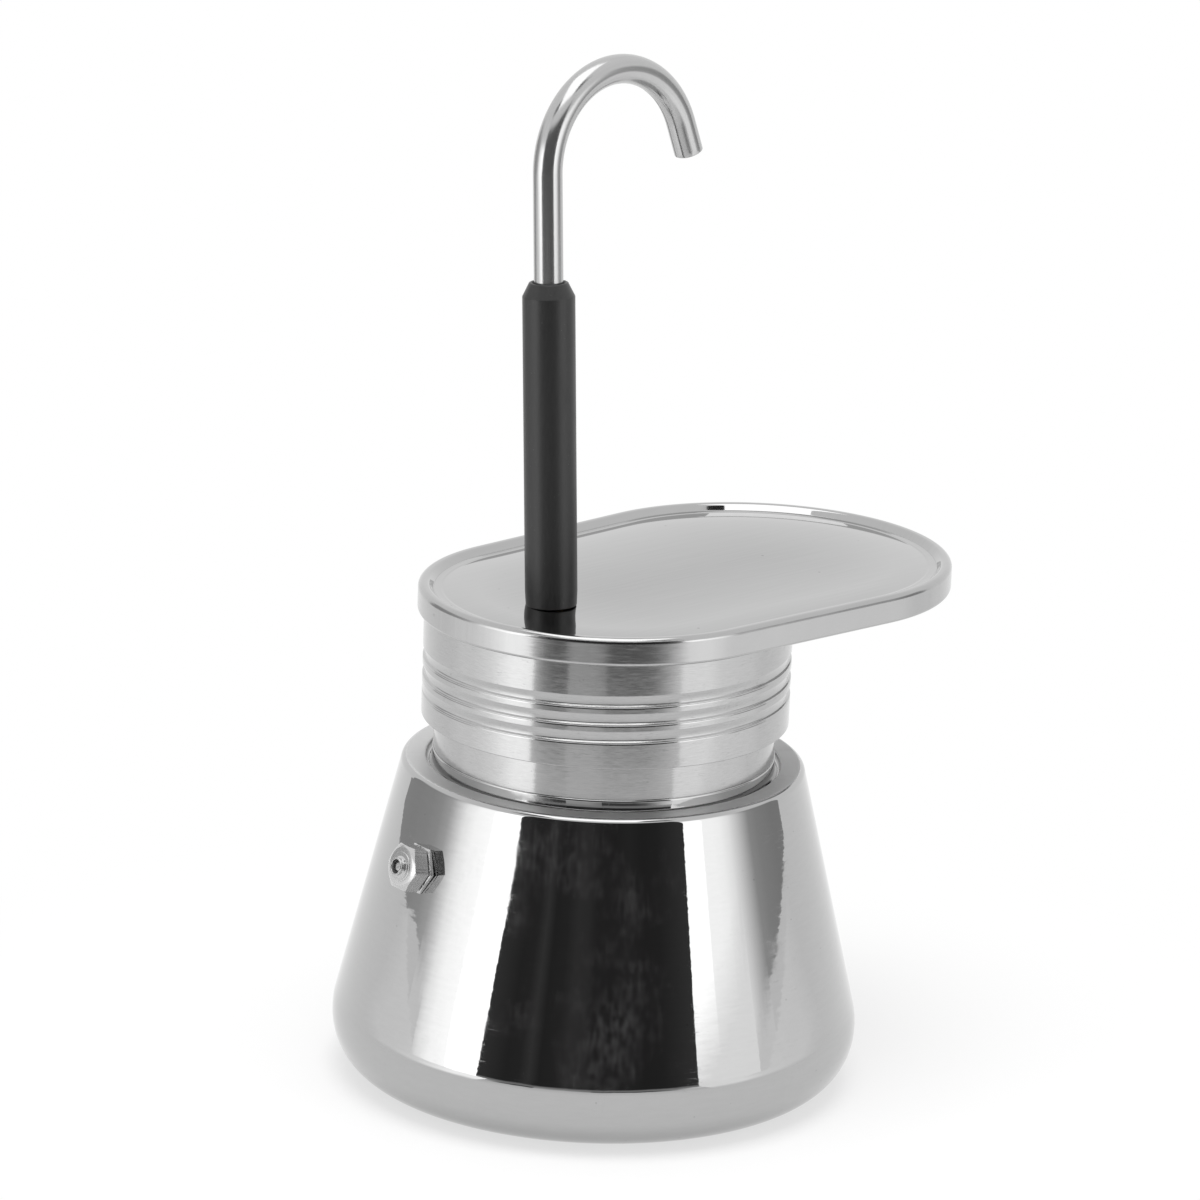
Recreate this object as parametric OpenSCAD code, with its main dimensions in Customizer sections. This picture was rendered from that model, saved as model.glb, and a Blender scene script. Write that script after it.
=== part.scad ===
// Stove-top coffee maker with a bent steam tube that pours straight into a cup on its tray.
// Frame: +Z up, origin at the centre of the boiler's flat base, +X along the tray's overhang, mm.

/* [Boiler] */
// radius of the boiler where its rounded bottom corner meets the cone
boiler_r = 43.55; // [43:0.05:44]
// half angle of the boiler's cone from upright
cone_angle = 13.7; // [13.2:0.1:14.2]
// radius of the flat base inside the rounded bottom corner
base_r = 35.5; // [34.5:0.1:36.5]
// height of the rounded bottom corner
corner_h = 12.5; // [11.5:0.1:13.5]
// thickness of the boiler's steel sheet
shell_t = 0.8; // [0.7:0.05:0.9]
// height of the flat ring at the boiler's top
ring_z = 54.3; // [53.9:0.1:54.7]
// radius of the rounded shoulder round that ring
shoulder_r = 1.2; // [0.9:0.1:1.5]
// radius of the ring's inner lip
lip_r = 29.5; // [29.4:0.05:29.7]
// depth of the gutter inside the lip
gutter_h = 1.1; // [0.8:0.1:1.3]
// height of the turned-up edge that holds the neck
mouth_z = 55.9; // [55.6:0.1:56.2]

/* [Neck] */
// outer radius of the threaded neck's wall
neck_r = 28.3; // [28.2:0.05:28.35]
// thickness of the neck's wall
neck_t = 0.8; // [0.7:0.05:0.9]
// height of the neck's lower edge, inside the boiler
neck_bottom_z = 50; // [49:0.5:51.5]
// height of the neck's upper edge, where the basket's flange lies
neck_top_z = 78.3; // [78.1:0.05:78.3]

/* [Collar] */
// outer radius of the head's threaded collar
collar_r = 30.5; // [30.45:0.05:30.55]
// thickness of the collar's sheet
collar_t = 0.8; // [0.75:0.01:0.82]
// height of the collar's lower edge
collar_bottom_z = 61.8; // [61.4:0.1:62.2]
// height of the underside of the collar's closed top
cap_z = 82.1; // [82.1:0.05:82.2]

/* [Cup tray] */
// radius of the tray's round end over the collar
tray_r = 31.6; // [31.5:0.05:31.9]
// radius of the tray's outer round end
tray_end_r = 32.9; // [32:0.1:33.5]
// distance between the centres of the two round ends
tray_reach = 34.5; // [33:0.1:37]
// height of the tray's border
tray_top_z = 84; // [83.9:0.05:84.1]
// height of the tray's side
tray_side_h = 4.7; // [4.3:0.05:4.9]
// thickness of the tray's sheet
tray_t = 1.1; // [1:0.02:1.12]
// rounding of the tray's upper edge
tray_edge_r = 0.95; // [0.8:0.05:1]
// rounding of the side's lower edge
tray_foot_r = 0.6; // [0.4:0.05:0.8]
// width of the flat border round the recessed deck
border_w = 2.8; // [2.4:0.1:3.2]
// depth of the deck below the border
deck_recess = 0.12; // [0.05:0.01:0.25]

/* [Spout tube] */
// outer radius of the tube
tube_r = 2.4; // [2.3:0.05:2.5]
// thickness of the tube's wall
tube_t = 0.45; // [0.4:0.05:0.5]
// distance of the tube's foot behind the collar's axis
tube_back = 13.3; // [12.5:0.1:14]
// lean of the tube to the left of the tray
tube_lean = 3.5; // [2.5:0.1:4.5]
// straight length from the deck to the bend
tube_straight = 70.1; // [68:0.1:72]
// radius of the bend's middle line
bend_r = 15.45; // [15:0.05:16]
// angle that the tube is bent through
bend_angle = 160.5; // [150:0.5:175]
// straight length from the bend to the tip
tip_l = 5.5; // [4:0.1:7]

/* [Grip sleeve] */
// outer radius of the sleeve
sleeve_r = 4.3; // [4.1:0.05:4.5]
// length of the sleeve
sleeve_l = 52.7; // [50:0.1:55]
// height of the chamfer at the sleeve's top
sleeve_chamfer_h = 2.4; // [1.8:0.1:2.8]
// radius that the chamfer narrows to
sleeve_top_r = 3.1; // [3:0.05:3.4]

/* [Basket] */
// outer radius of the basket's cup
basket_r = 26.9; // [26.6:0.05:27]
// thickness of the basket's sheet
basket_t = 0.5; // [0.4:0.05:0.6]
// height of the step that the coffee screen lies on
screen_z = 66; // [65:0.1:67]
// height at which the funnel's cone reaches the stem
funnel_z = 56; // [55:0.1:57]
// outer radius of the stem
stem_r = 4.5; // [4.3:0.05:4.7]
// height of the stem's open foot above the table
stem_foot_z = 4; // [3.5:0.1:5]
// thickness of the basket's flange
flange_t = 0.8; // [0.75:0.01:0.8]

/* [Gasket and filter plate] */
// outer radius of the gasket, flange and filter plate, which pass the collar's thread
disc_r = 28.35; // [28.2:0.05:28.4]
// inner radius of the gasket
gasket_hole_r = 24; // [23.6:0.1:24.6]
// thickness of the gasket
gasket_t = 2.4; // [2.3:0.01:2.4]
// thickness of the filter plate and of the coffee screen
plate_t = 0.6; // [0.5:0.01:0.6]
// radius of the filter plate's dished middle
dish_r = 22.4; // [22:0.1:22.8]
// depth of the dished middle
dish_h = 2.1; // [2:0.02:2.14]
// radius of the holes in the filter plate and the screen
hole_r = 0.7; // [0.5:0.05:0.9]
// rings of holes round the middle one
hole_rings = 4; // [3:1:4]
// distance from one ring of holes to the next
hole_step = 4.5; // [4.2:0.1:4.7]

/* [Safety valve] */
// height of the valve's axis where it meets the cone
valve_z = 40.9; // [39:0.1:42]
// direction of the valve seen from above
valve_angle = 175.5; // [170:0.5:180]
// width across the flats of the valve's hexagon
hex_w = 7.6; // [7.2:0.1:8]
// length of the valve's hexagon
hex_l = 3.3; // [3:0.1:3.6]
// thickness of the hexagonal boss welded to the boiler
boss_t = 1.1; // [0.9:0.1:1.3]
// thickness of the sealing washer between boss and valve
valve_washer_t = 0.3; // [0.2:0.05:0.4]
// length of the valve's stub
stub_l = 1.8; // [1.6:0.1:2]
// outer radius of the valve's stub
stub_r = 1.45; // [1.35:0.05:1.55]
// bore radius of the valve's stub
stub_bore_r = 1.15; // [1.1:0.05:1.2]
// radius of the relief pin's stem
pin_r = 0.75; // [0.7:0.05:0.8]
// radius of the relief pin's head
pin_head_r = 1.5; // [1.4:0.05:1.6]

/* [Hidden] */
// small overlap of a cutter past the face it opens
cut = 1;
// boiler
cone_slope = tan(cone_angle);
corner_pull_low = 0.5;
corner_pull_high = 0.56;
corner_steps = 9;
lip_round = 0.25;
lip_lean = 0.1;
gutter_w = 0.4;
mouth_edge_r = neck_r + 0.15;
shoulder_out_r = boiler_r - (ring_z - shoulder_r * (1 - sin(cone_angle)) - corner_h) * cone_slope;
shoulder_c_r = shoulder_out_r - shoulder_r * cos(cone_angle);
// collar, cap and tray
cap_top_z = tray_top_z - tray_t;
tray_open = asin((tray_end_r - tray_r) / tray_reach);
deck_overlap = 1;
deck_steps = 12;
side_lap = 0.4;
side_proud = 0.02;
collar_in_r = collar_r - collar_t;
collar_edge_r = 0.7;
// stack under the cap
plate_top_z = cap_z;
flange_z = neck_top_z;
gasket_z = flange_z + flange_t;
// spout
tube_base = [-tube_back, 0, tray_top_z - deck_recess];
tube_under = 3.2;
nut_w = 7.4;
nut_bottom = 81;
washer_t = 0.4;
washer_r = 4.4;
ferrule_r = 3.1;
ferrule_low = 2.9;
ferrule_up = 4;
tip_swell = 0.02;
tip_overlap = 0.1;
// grip sleeve
sleeve_foot_h = 1.2;
sleeve_foot_in = 0.12;
sleeve_top_round = 0.3;
// screen and funnel
screen_ledge = 2.2;
screen_gap = 0.05;
ledge_t = 0.5;
hole_n = 8;
stem_socket_h = 6;
stem_t = 0.5;
// valve
valve_base = [
    (boiler_r - (valve_z - corner_h) * cone_slope) * cos(valve_angle),
    (boiler_r - (valve_z - corner_h) * cone_slope) * sin(valve_angle),
    valve_z
];
boss_w = hex_w + 0.3;
boss_bore_r = 2.55;
boss_tube_r = 3.4;
boss_tube_l = 2.2;
shank_r = 2.5;
shank_l = 6.4;
chamber_r = 1.85;
chamber_l = 8.2;
hex_z = boss_t + valve_washer_t;
face_r = 2.5;
face_t = 0.15;
hex_chamfer = 0.55;
seat_t = 1.2;
seat_bore_r = 0.9;
pin_head_t = 0.8;
spring_wire_r = 0.2;
spring_turns = 4;
spring_steps = 10;
spring_gap = 0.1;
spring_slice = 0.05;

// which sub-part to draw

// points of an arc about [cx, cy], from angle a0 to a1, with radii rx and ry
function arc(cx, cy, rx, ry, a0, a1, n) =
    [for (i = [0:n]) [cx + rx * cos(a0 + (a1 - a0) * i / n), cy + ry * sin(a0 + (a1 - a0) * i / n)]];

// points of a smooth curve that leaves a towards p and reaches b from q, shifted to its left by d
function smooth(a, p, q, b, d, n) =
    [for (i = [0:n])
        let (
            u = i / n,
            v = 1 - u,
            here = v * v * v * a + 3 * v * v * u * p + 3 * v * u * u * q + u * u * u * b,
            run = v * v * (p - a) + 2 * v * u * (q - p) + u * u * (b - q)
        )
        here + d * [-run[1], run[0]] / norm(run)];

// radius of the boiler's cone at height z, set in by d square to its face
function cone_r(z, d) = boiler_r - (z - corner_h) * cone_slope - d / cos(cone_angle);

// sheet steel body: flat base, rounded corner, cone, shoulder, flat ring, gutter, turned-up mouth
module boiler_shell() {
    low = [base_r, 0];
    high = [boiler_r, corner_h];
    tip = [cone_r(0, 0), 0];
    near_low = low + corner_pull_low * (tip - low);
    near_high = high + corner_pull_high * (tip - high);
    gutter_r = lip_r - gutter_w;
    outer = concat(
        [[0, 0]],
        smooth(low, near_low, near_high, high, 0, corner_steps),
        arc(shoulder_c_r, ring_z - shoulder_r, shoulder_r, shoulder_r, cone_angle, 90, 4),
        [
            [lip_r + lip_round, ring_z],
            [lip_r, ring_z - lip_round],
            [lip_r - lip_lean, ring_z - gutter_h + lip_round]
        ],
        arc(gutter_r, mouth_z, gutter_r - mouth_edge_r, mouth_z - ring_z + gutter_h, 270, 180, 5),
        [[neck_r, mouth_z]]
    );
    under_z = ring_z - gutter_h - shell_t;
    inner = concat(
        [[neck_r, under_z]],
        [[lip_r, under_z]],
        [[lip_r + gutter_h, ring_z - shell_t]],
        [[cone_r(ring_z - shell_t, shell_t), ring_z - shell_t]],
        smooth(high, near_high, near_low, low, -shell_t, corner_steps),
        [[0, shell_t]]
    );
    color("silver")
    difference() {
        rotate_extrude() polygon(concat(outer, inner));
        on_valve_axis() translate([0, 0, -boss_tube_l - cut]) cylinder(r = boss_tube_r, h = boss_tube_l + 2 * cut);
    }
}

// straight ring of the given outer radius and wall, from z = 0 up
module ring(r, wall, h) {
    linear_extrude(h)
    difference() {
        circle(r);
        circle(r - wall);
    }
}

// thin neck welded in the boiler's mouth: the head screws onto it
module boiler_neck() {
    color("lightgray")
    translate([0, 0, neck_bottom_z])
    ring(neck_r, neck_t, neck_top_z - neck_bottom_z);
}

// closed cap that screws onto the neck: rounded under the tray, open below
module threaded_collar() {
    color("lightgray")
    difference() {
        rotate_extrude()
        polygon(concat(
            [[collar_in_r, collar_bottom_z], [collar_r, collar_bottom_z]],
            arc(collar_r - collar_edge_r, cap_top_z - collar_edge_r, collar_edge_r, collar_edge_r, 0, 90, 4),
            [[0, cap_top_z], [0, cap_z], [collar_in_r, cap_z]]
        ));
        on_tube_axis() cylinder(r = ferrule_r, h = 4 * tube_under, center = true);
    }
}

// places its children at the tube's foot with +Z along the leaning tube
module on_tube_axis() {
    translate(tube_base) rotate([-tube_lean, 0, 0]) children();
}

// sweeps a section, drawn inwards from x = 0, round the tray's edge
module round_tray() {
    rotate([0, 0, 90 + tray_open])
    rotate_extrude(angle = 180 - 2 * tray_open)
    translate([tray_r, 0])
    children();
    translate([tray_reach, 0, 0])
    rotate([0, 0, -90 - tray_open])
    rotate_extrude(angle = 180 + 2 * tray_open)
    translate([tray_end_r, 0])
    children();
    for (side = [0, 1]) {
        mirror([0, side, 0])
        rotate([0, 0, tray_open])
        translate([-side_lap, 0, 0])
        rotate([90, 0, 90])
        linear_extrude(tray_reach * cos(tray_open) + 2 * side_lap)
        translate([tray_r + side_proud, 0])
        children();
    }
}

// outline of the flat deck inside the border, lapped under the border's inner edge
module deck_plan() {
    d = border_w + deck_recess + deck_overlap / 4;
    polygon(concat(
        arc(0, 0, tray_r - d, tray_r - d, 90 + tray_open, 270 - tray_open, deck_steps),
        arc(tray_reach, 0, tray_end_r - d, tray_end_r - d, -90 - tray_open, 90 + tray_open, deck_steps)
    ));
}

// section of the tray's border: edge of the deck, border, rounded edge, side, all one sheet
module border_section() {
    deck_z = tray_top_z - deck_recess;
    side_z = tray_top_z - tray_side_h;
    inner = -border_w - deck_recess;
    polygon(concat(
        [[inner - deck_overlap, cap_top_z], [inner - deck_overlap, deck_z], [inner, deck_z], [-border_w, tray_top_z]],
        arc(-tray_edge_r, tray_top_z - tray_edge_r, tray_edge_r, tray_edge_r, 90, 0, 4),
        arc(-tray_foot_r, side_z + tray_foot_r, tray_foot_r, tray_foot_r, 0, -90, 2),
        [[-tray_t, side_z], [-tray_t, cap_top_z]]
    ));
}

// tray that the cup stands on, fixed on the collar's closed top
module cup_tray() {
    color("silver")
    difference() {
        union() {
            round_tray() border_section();
            translate([0, 0, cap_top_z]) linear_extrude(tray_t - deck_recess) deck_plan();
        }
        on_tube_axis() cylinder(r = ferrule_r, h = 4 * tube_under, center = true);
    }
}

// section across the tube, its wall thickened by the given swell on both faces
module tube_section(swell = 0) {
    difference() {
        circle(tube_r + swell);
        circle(tube_r - tube_t - swell);
    }
}

// bent tube: through the cap and deck, straight up inside the sleeve, round the bend, tip facing down
module spout_tube() {
    color("silver")
    on_tube_axis() {
        translate([0, 0, -tube_under]) linear_extrude(tube_under + tube_straight) tube_section();
        translate([bend_r, 0, tube_straight]) {
            mirror([1, 0, 0])
            rotate([90, 0, 0])
            rotate_extrude(angle = bend_angle)
            translate([bend_r, 0])
            tube_section();
            rotate([0, bend_angle, 0])
            translate([-bend_r, 0, -tip_overlap])
            linear_extrude(tip_l + tip_overlap)
            tube_section(tip_swell);
        }
    }
}

// threaded ferrule soldered on the tube's foot, held in the cap's hole
module spout_ferrule() {
    color("gold")
    on_tube_axis()
    translate([0, 0, -ferrule_low])
    ring(ferrule_r, ferrule_r - tube_r, ferrule_low + ferrule_up);
}

// sealing washer under the cap
module spout_washer() {
    color("dimgray")
    difference() {
        translate([-tube_back, 0, cap_z - washer_t]) cylinder(r = washer_r, h = washer_t);
        on_tube_axis() cylinder(r = ferrule_r, h = 4 * tube_under, center = true);
    }
}

// thin nut on the ferrule that holds the tube, its top cut level to lie on the washer
module spout_nut() {
    color("gold")
    difference() {
        translate([-tube_back, 0, nut_bottom])
        cylinder(d = nut_w / cos(30), h = cap_z - washer_t - nut_bottom, $fn = 6);
        on_tube_axis() cylinder(r = ferrule_r, h = 4 * tube_under, center = true);
    }
}

// heat-proof sleeve to hold the pot by
module grip_sleeve() {
    color("black")
    difference() {
        on_tube_axis()
        rotate_extrude()
        polygon([
            [tube_r, -sleeve_foot_h],
            [sleeve_r - sleeve_foot_in, -sleeve_foot_h],
            [sleeve_r, sleeve_foot_h],
            [sleeve_r, sleeve_l - sleeve_chamfer_h],
            [sleeve_top_r, sleeve_l - sleeve_top_round],
            [sleeve_top_r - sleeve_top_round, sleeve_l],
            [tube_r, sleeve_l - sleeve_top_round]
        ]);
        on_tube_axis() translate([0, 0, -2 * cut]) cylinder(r = ferrule_r, h = ferrule_up + 2 * cut);
        translate([-tube_back - 2 * sleeve_r, -2 * sleeve_r, tube_base[2] - 4 * sleeve_foot_h])
        cube([4 * sleeve_r, 4 * sleeve_r, 4 * sleeve_foot_h]);
    }
}

// pattern of holes: one in the middle and rings round it
module hole_pattern(z, h) {
    translate([0, 0, z]) cylinder(r = hole_r, h = h, $fn = hole_n);
    for (ring = [1:hole_rings]) {
        for (i = [0:6 * ring - 1]) {
            rotate([0, 0, 60 * i / ring])
            translate([ring * hole_step, 0, z])
            cylinder(r = hole_r, h = h, $fn = hole_n);
        }
    }
}

// pressed cup with a flange, a ledge for the screen and a funnel cone that holds the stem
module basket_cup() {
    in_r = basket_r - basket_t;
    ledge_r = in_r - screen_ledge;
    rise = basket_t * 1.2;
    color("silver")
    rotate_extrude()
    polygon([
        [disc_r, flange_z],
        [disc_r, flange_z + flange_t],
        [in_r, flange_z + flange_t],
        [in_r, screen_z],
        [ledge_r, screen_z],
        [stem_r + basket_t, funnel_z + rise],
        [stem_r, funnel_z + rise],
        [stem_r, funnel_z - stem_socket_h],
        [stem_r + basket_t, funnel_z - stem_socket_h],
        [stem_r + basket_t, funnel_z],
        [ledge_r, screen_z - rise],
        [basket_r, screen_z - rise],
        [basket_r, flange_z]
    ]);
}

// perforated screen that the ground coffee lies on
module basket_screen() {
    color("lightgray")
    difference() {
        translate([0, 0, screen_z]) cylinder(r = basket_r - basket_t - screen_gap, h = plate_t);
        hole_pattern(screen_z - cut, plate_t + 2 * cut);
    }
}

// tube that the water rises through, pushed into the funnel's cone
module basket_stem() {
    color("silver")
    translate([0, 0, stem_foot_z])
    ring(stem_r, stem_t, funnel_z - stem_foot_z);
}

// flat rubber ring between the basket's flange and the filter plate
module head_gasket() {
    color("white")
    translate([0, 0, gasket_z])
    ring(disc_r, disc_r - gasket_hole_r, gasket_t);
}

// dished plate with holes that the coffee passes on its way to the tube
module filter_plate() {
    low_z = plate_top_z - dish_h - plate_t;
    color("silver")
    difference() {
        rotate_extrude()
        polygon([
            [0, low_z],
            [dish_r - dish_h / 2, low_z],
            [dish_r + plate_t, plate_top_z - plate_t],
            [disc_r, plate_top_z - plate_t],
            [disc_r, plate_top_z],
            [dish_r, plate_top_z],
            [dish_r - dish_h / 2, plate_top_z - dish_h],
            [0, plate_top_z - dish_h]
        ]);
        hole_pattern(low_z - cut, plate_t + 2 * cut);
    }
}

// places its children on the cone with +Z outwards along the valve's axis
module on_valve_axis() {
    translate(valve_base) rotate([0, 0, valve_angle]) rotate([0, 90 - cone_angle, 0]) children();
}

// hexagonal boss welded into the boiler's wall, threaded for the valve
module valve_boss() {
    color("silver")
    on_valve_axis()
    difference() {
        union() {
            cylinder(d = boss_w / cos(30), h = boss_t, $fn = 6);
            translate([0, 0, -boss_tube_l]) cylinder(r = boss_tube_r, h = boss_tube_l);
        }
        translate([0, 0, -boss_tube_l - cut]) cylinder(r = boss_bore_r, h = boss_tube_l + boss_t + 2 * cut);
    }
}

// flat sealing washer between boss and valve
module valve_washer() {
    color("dimgray")
    on_valve_axis()
    translate([0, 0, boss_t])
    ring(boss_tube_r, boss_tube_r - boss_bore_r, valve_washer_t);
}

// valve body: chamfered hexagon, round face, stub, shank with the spring's chamber
module valve_body() {
    corner_r = hex_w / 2 / cos(30);
    front_z = hex_z + hex_l;
    color("silver")
    on_valve_axis()
    difference() {
        union() {
            intersection() {
                translate([0, 0, hex_z]) cylinder(r = corner_r, h = hex_l, $fn = 6);
                rotate_extrude()
                polygon([
                    [0, hex_z],
                    [corner_r + cut, hex_z],
                    [corner_r + cut, front_z - hex_chamfer],
                    [corner_r, front_z - hex_chamfer],
                    [corner_r - 2 * hex_chamfer, front_z],
                    [0, front_z]
                ]);
            }
            translate([0, 0, front_z]) cylinder(r = face_r, h = face_t);
            translate([0, 0, front_z]) cylinder(r = stub_r, h = stub_l);
            translate([0, 0, -shank_l]) cylinder(r = shank_r, h = shank_l + hex_z);
        }
        translate([0, 0, -shank_l - cut]) cylinder(r = stub_bore_r, h = shank_l + front_z + stub_l + 2 * cut);
        translate([0, 0, -shank_l - cut]) cylinder(r = chamber_r, h = chamber_l + cut);
    }
}

// ring pressed into the shank's inner end: the seat that the pin's head closes
module valve_seat() {
    color("gold")
    on_valve_axis()
    translate([0, 0, -shank_l])
    ring(chamber_r, chamber_r - seat_bore_r, seat_t);
}

// coil spring round the pin, between its head and the chamber's end
module valve_spring() {
    low = -shank_l + seat_t + pin_head_t + spring_gap + spring_wire_r;
    high = -shank_l + chamber_l - spring_gap - spring_wire_r;
    n = spring_turns * spring_steps;
    wind_r = (chamber_r + pin_r) / 2;
    color("gray")
    on_valve_axis()
    for (i = [0:n - 1]) {
        hull() {
            for (k = [i, i + 1]) {
                rotate([0, 0, 360 * k / spring_steps])
                translate([wind_r, 0, low + (high - low) * k / n])
                rotate([90, 0, 0])
                cylinder(r = spring_wire_r, h = spring_slice, center = true, $fn = 6);
            }
        }
    }
}

// relief pin: head on the seat, stem out through the stub
module valve_pin() {
    head_z = -shank_l + seat_t;
    color("gray")
    on_valve_axis() {
        translate([0, 0, head_z]) cylinder(r = pin_head_r, h = pin_head_t);
        translate([0, 0, head_z]) cylinder(r = pin_r, h = hex_z + hex_l + stub_l - 2 * face_t - head_z);
    }
}

boiler_shell();
boiler_neck();
valve_boss();
valve_washer();
valve_body();
valve_seat();
valve_spring();
valve_pin();
basket_cup();
basket_screen();
basket_stem();
head_gasket();
filter_plate();
threaded_collar();
cup_tray();
spout_tube();
spout_ferrule();
spout_washer();
spout_nut();
grip_sleeve();
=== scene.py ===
"""Looks of the moka pot: every piece at full detail, its finish, and a plain studio."""

from math import atan2, cos, floor, pi, radians, sin, sqrt, tan

import bmesh
import bpy
from mathutils import Matrix, Vector


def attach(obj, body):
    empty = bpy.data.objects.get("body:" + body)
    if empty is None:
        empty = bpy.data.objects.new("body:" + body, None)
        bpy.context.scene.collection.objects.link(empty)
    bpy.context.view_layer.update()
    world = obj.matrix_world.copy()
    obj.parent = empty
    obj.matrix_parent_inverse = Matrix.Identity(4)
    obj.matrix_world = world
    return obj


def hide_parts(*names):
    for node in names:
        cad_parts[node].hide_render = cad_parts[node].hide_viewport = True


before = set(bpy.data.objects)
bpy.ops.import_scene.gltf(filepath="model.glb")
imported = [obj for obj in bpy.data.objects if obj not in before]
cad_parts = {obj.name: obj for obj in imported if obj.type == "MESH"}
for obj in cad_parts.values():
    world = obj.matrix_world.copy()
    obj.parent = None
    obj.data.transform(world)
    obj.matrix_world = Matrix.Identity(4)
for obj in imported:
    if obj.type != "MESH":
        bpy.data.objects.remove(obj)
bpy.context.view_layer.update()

MM = 0.001

# ---------------------------------------------------------------- sizes, in millimetres

CONE_ANGLE = radians(13.7)
CONE_FOOT_Z = 12.5
CONE_FOOT_R = 43.55
BASE_R = 35.5
CORNER_PULL_LOW = 0.50
CORNER_PULL_HIGH = 0.56
SHELL_T = 0.8
RING_Z = 54.3
SHOULDER_R = 1.2
LIP_R = 29.5
GUTTER_W = 0.4
GUTTER_H = 1.1
MOUTH_Z = 55.9
MOUTH_EDGE = 0.15

NECK_R = 28.3
NECK_T = 0.8
NECK_BOTTOM_Z = 50.0
NECK_TOP_Z = 78.3

PITCH = 3.0
THREAD_START = radians(121)
THREAD_START_Z = 66.1
COLLAR_TURNS = 2.76
NECK_TURNS = 3.4
GROOVE_DEPTH = 0.32
GROOVE_W = 2.1
COLLAR_RIDGE_H = 0.95
COLLAR_RIDGE_W = 1.4
NECK_RIDGE_H = 1.05
NECK_RIDGE_W = 1.5

COLLAR_R = 30.5
COLLAR_T = 0.8
COLLAR_BOTTOM_Z = 61.8
CAP_Z = 82.1

TRAY_R = 31.6
TRAY_END_R = 32.9
TRAY_REACH = 34.5
TRAY_TOP_Z = 84.0
TRAY_SIDE_H = 4.7
TRAY_T = 1.1
TRAY_EDGE_R = 0.95
TRAY_FOOT_R = 0.6
DECK_RECESS = 1.0
BEAD_W = 2.55
BEAD_SLOPE_W = 0.90
BORDER_W = 3.9
CORE_RECESS = 0.12

TUBE_R = 2.4
TUBE_T = 0.45
TUBE_BACK = 13.3
TUBE_LEAN = radians(3.5)
TUBE_STRAIGHT = 70.1
TUBE_UNDER = 3.2
BEND_R = 15.45
BEND_ANGLE = radians(160.5)
TIP_L = 5.5

SLEEVE_R = 4.3
SLEEVE_L = 52.7
SLEEVE_CHAMFER_H = 2.4
SLEEVE_TOP_R = 3.1

FERRULE_R = 3.1
FERRULE_LOW = 2.9
FERRULE_UP = 4.0
NUT_W = 7.4
NUT_BOTTOM = 81.0
WASHER_R = 4.4
WASHER_T = 0.4

BASKET_R = 26.9
BASKET_T = 0.5
DISC_R = 28.35
FLANGE_T = 0.8
SCREEN_Z = 66.0
SCREEN_LEDGE = 2.2
FUNNEL_Z = 56.0
SOCKET_H = 6.0
STEM_R = 4.5
STEM_FOOT_Z = 4.0
GASKET_HOLE_R = 24.0
GASKET_T = 2.4
PLATE_T = 0.6
DISH_R = 22.4
DISH_H = 2.1
HOLE_R = 0.7
HOLE_RINGS = 4
HOLE_STEP = 4.5

VALVE_Z = 40.9
VALVE_ANGLE = radians(172)
HEX_W = 7.2
HEX_L = 2.8
BOSS_T = 0.6
BOSS_TUBE_R = 3.4
BOSS_TUBE_L = 2.2
BOSS_BORE_R = 2.55
VALVE_WASHER_T = 0.3
STUB_L = 1.1
STUB_R = 1.45
STUB_BORE_R = 1.15
SHANK_R = 2.5
SHANK_L = 6.4
CHAMBER_R = 1.85
CHAMBER_L = 8.2
SEAT_T = 1.2
SEAT_BORE_R = 0.9
PIN_R = 0.75
PIN_HEAD_R = 1.5
PIN_HEAD_T = 0.8
SPRING_WIRE_R = 0.2
SPRING_TURNS = 4
SPRING_GAP = 0.1

# ---------------------------------------------------------------- building meshes


def rounded(corners, steps=10, edge=0.06):
    """A closed section from corners (r, z, radius): each corner becomes an arc of its radius.

    A short straight stretch is kept beside each arc, so that flat faces keep flat normals."""
    pts = []
    n = len(corners)
    for i in range(n):
        here = Vector(corners[i][:2])
        back = Vector(corners[i - 1][:2]) - here
        ahead = Vector(corners[(i + 1) % n][:2]) - here
        lb, la = back.length, ahead.length
        back, ahead = back / lb, ahead / la
        rad = corners[i][2] if len(corners[i]) > 2 else 0
        if rad <= 0:
            pts.append(here)
            continue
        half = back.angle(ahead) / 2
        cut = rad / tan(half)
        centre = here + (back + ahead).normalized() * (rad / sin(half))
        start, end = here + back * cut, here + ahead * cut
        a0 = atan2(*(start - centre).yx)
        turn = atan2(*(end - centre).yx) - a0
        turn = (turn + pi) % (2 * pi) - pi
        if lb > cut + 2 * edge:
            pts.append(start + back * edge)
        for k in range(steps + 1):
            a = a0 + turn * k / steps
            pts.append(centre + Vector((cos(a), sin(a))) * rad)
        if la > cut + 2 * edge:
            pts.append(end + ahead * edge)
    return [(p.x, p.y) for p in pts]


def split_long(section, z0, z1, step):
    """The section with its upright stretches between z0 and z1 cut into rows of the given step."""
    out = []
    n = len(section)
    for i in range(n):
        a, b = section[i], section[(i + 1) % n]
        out.append(a)
        if abs(a[0] - b[0]) < 1e-6 and abs(a[1] - b[1]) > step:
            low, high = sorted((a[1], b[1]))
            zs = []
            z = max(low, z0)
            while z < min(high, z1):
                zs.append(z)
                z += step
            zs = [z for z in zs if low + 1e-4 < z < high - 1e-4]
            if a[1] > b[1]:
                zs.reverse()
            out += [(a[0], z) for z in zs]
    return out


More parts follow.
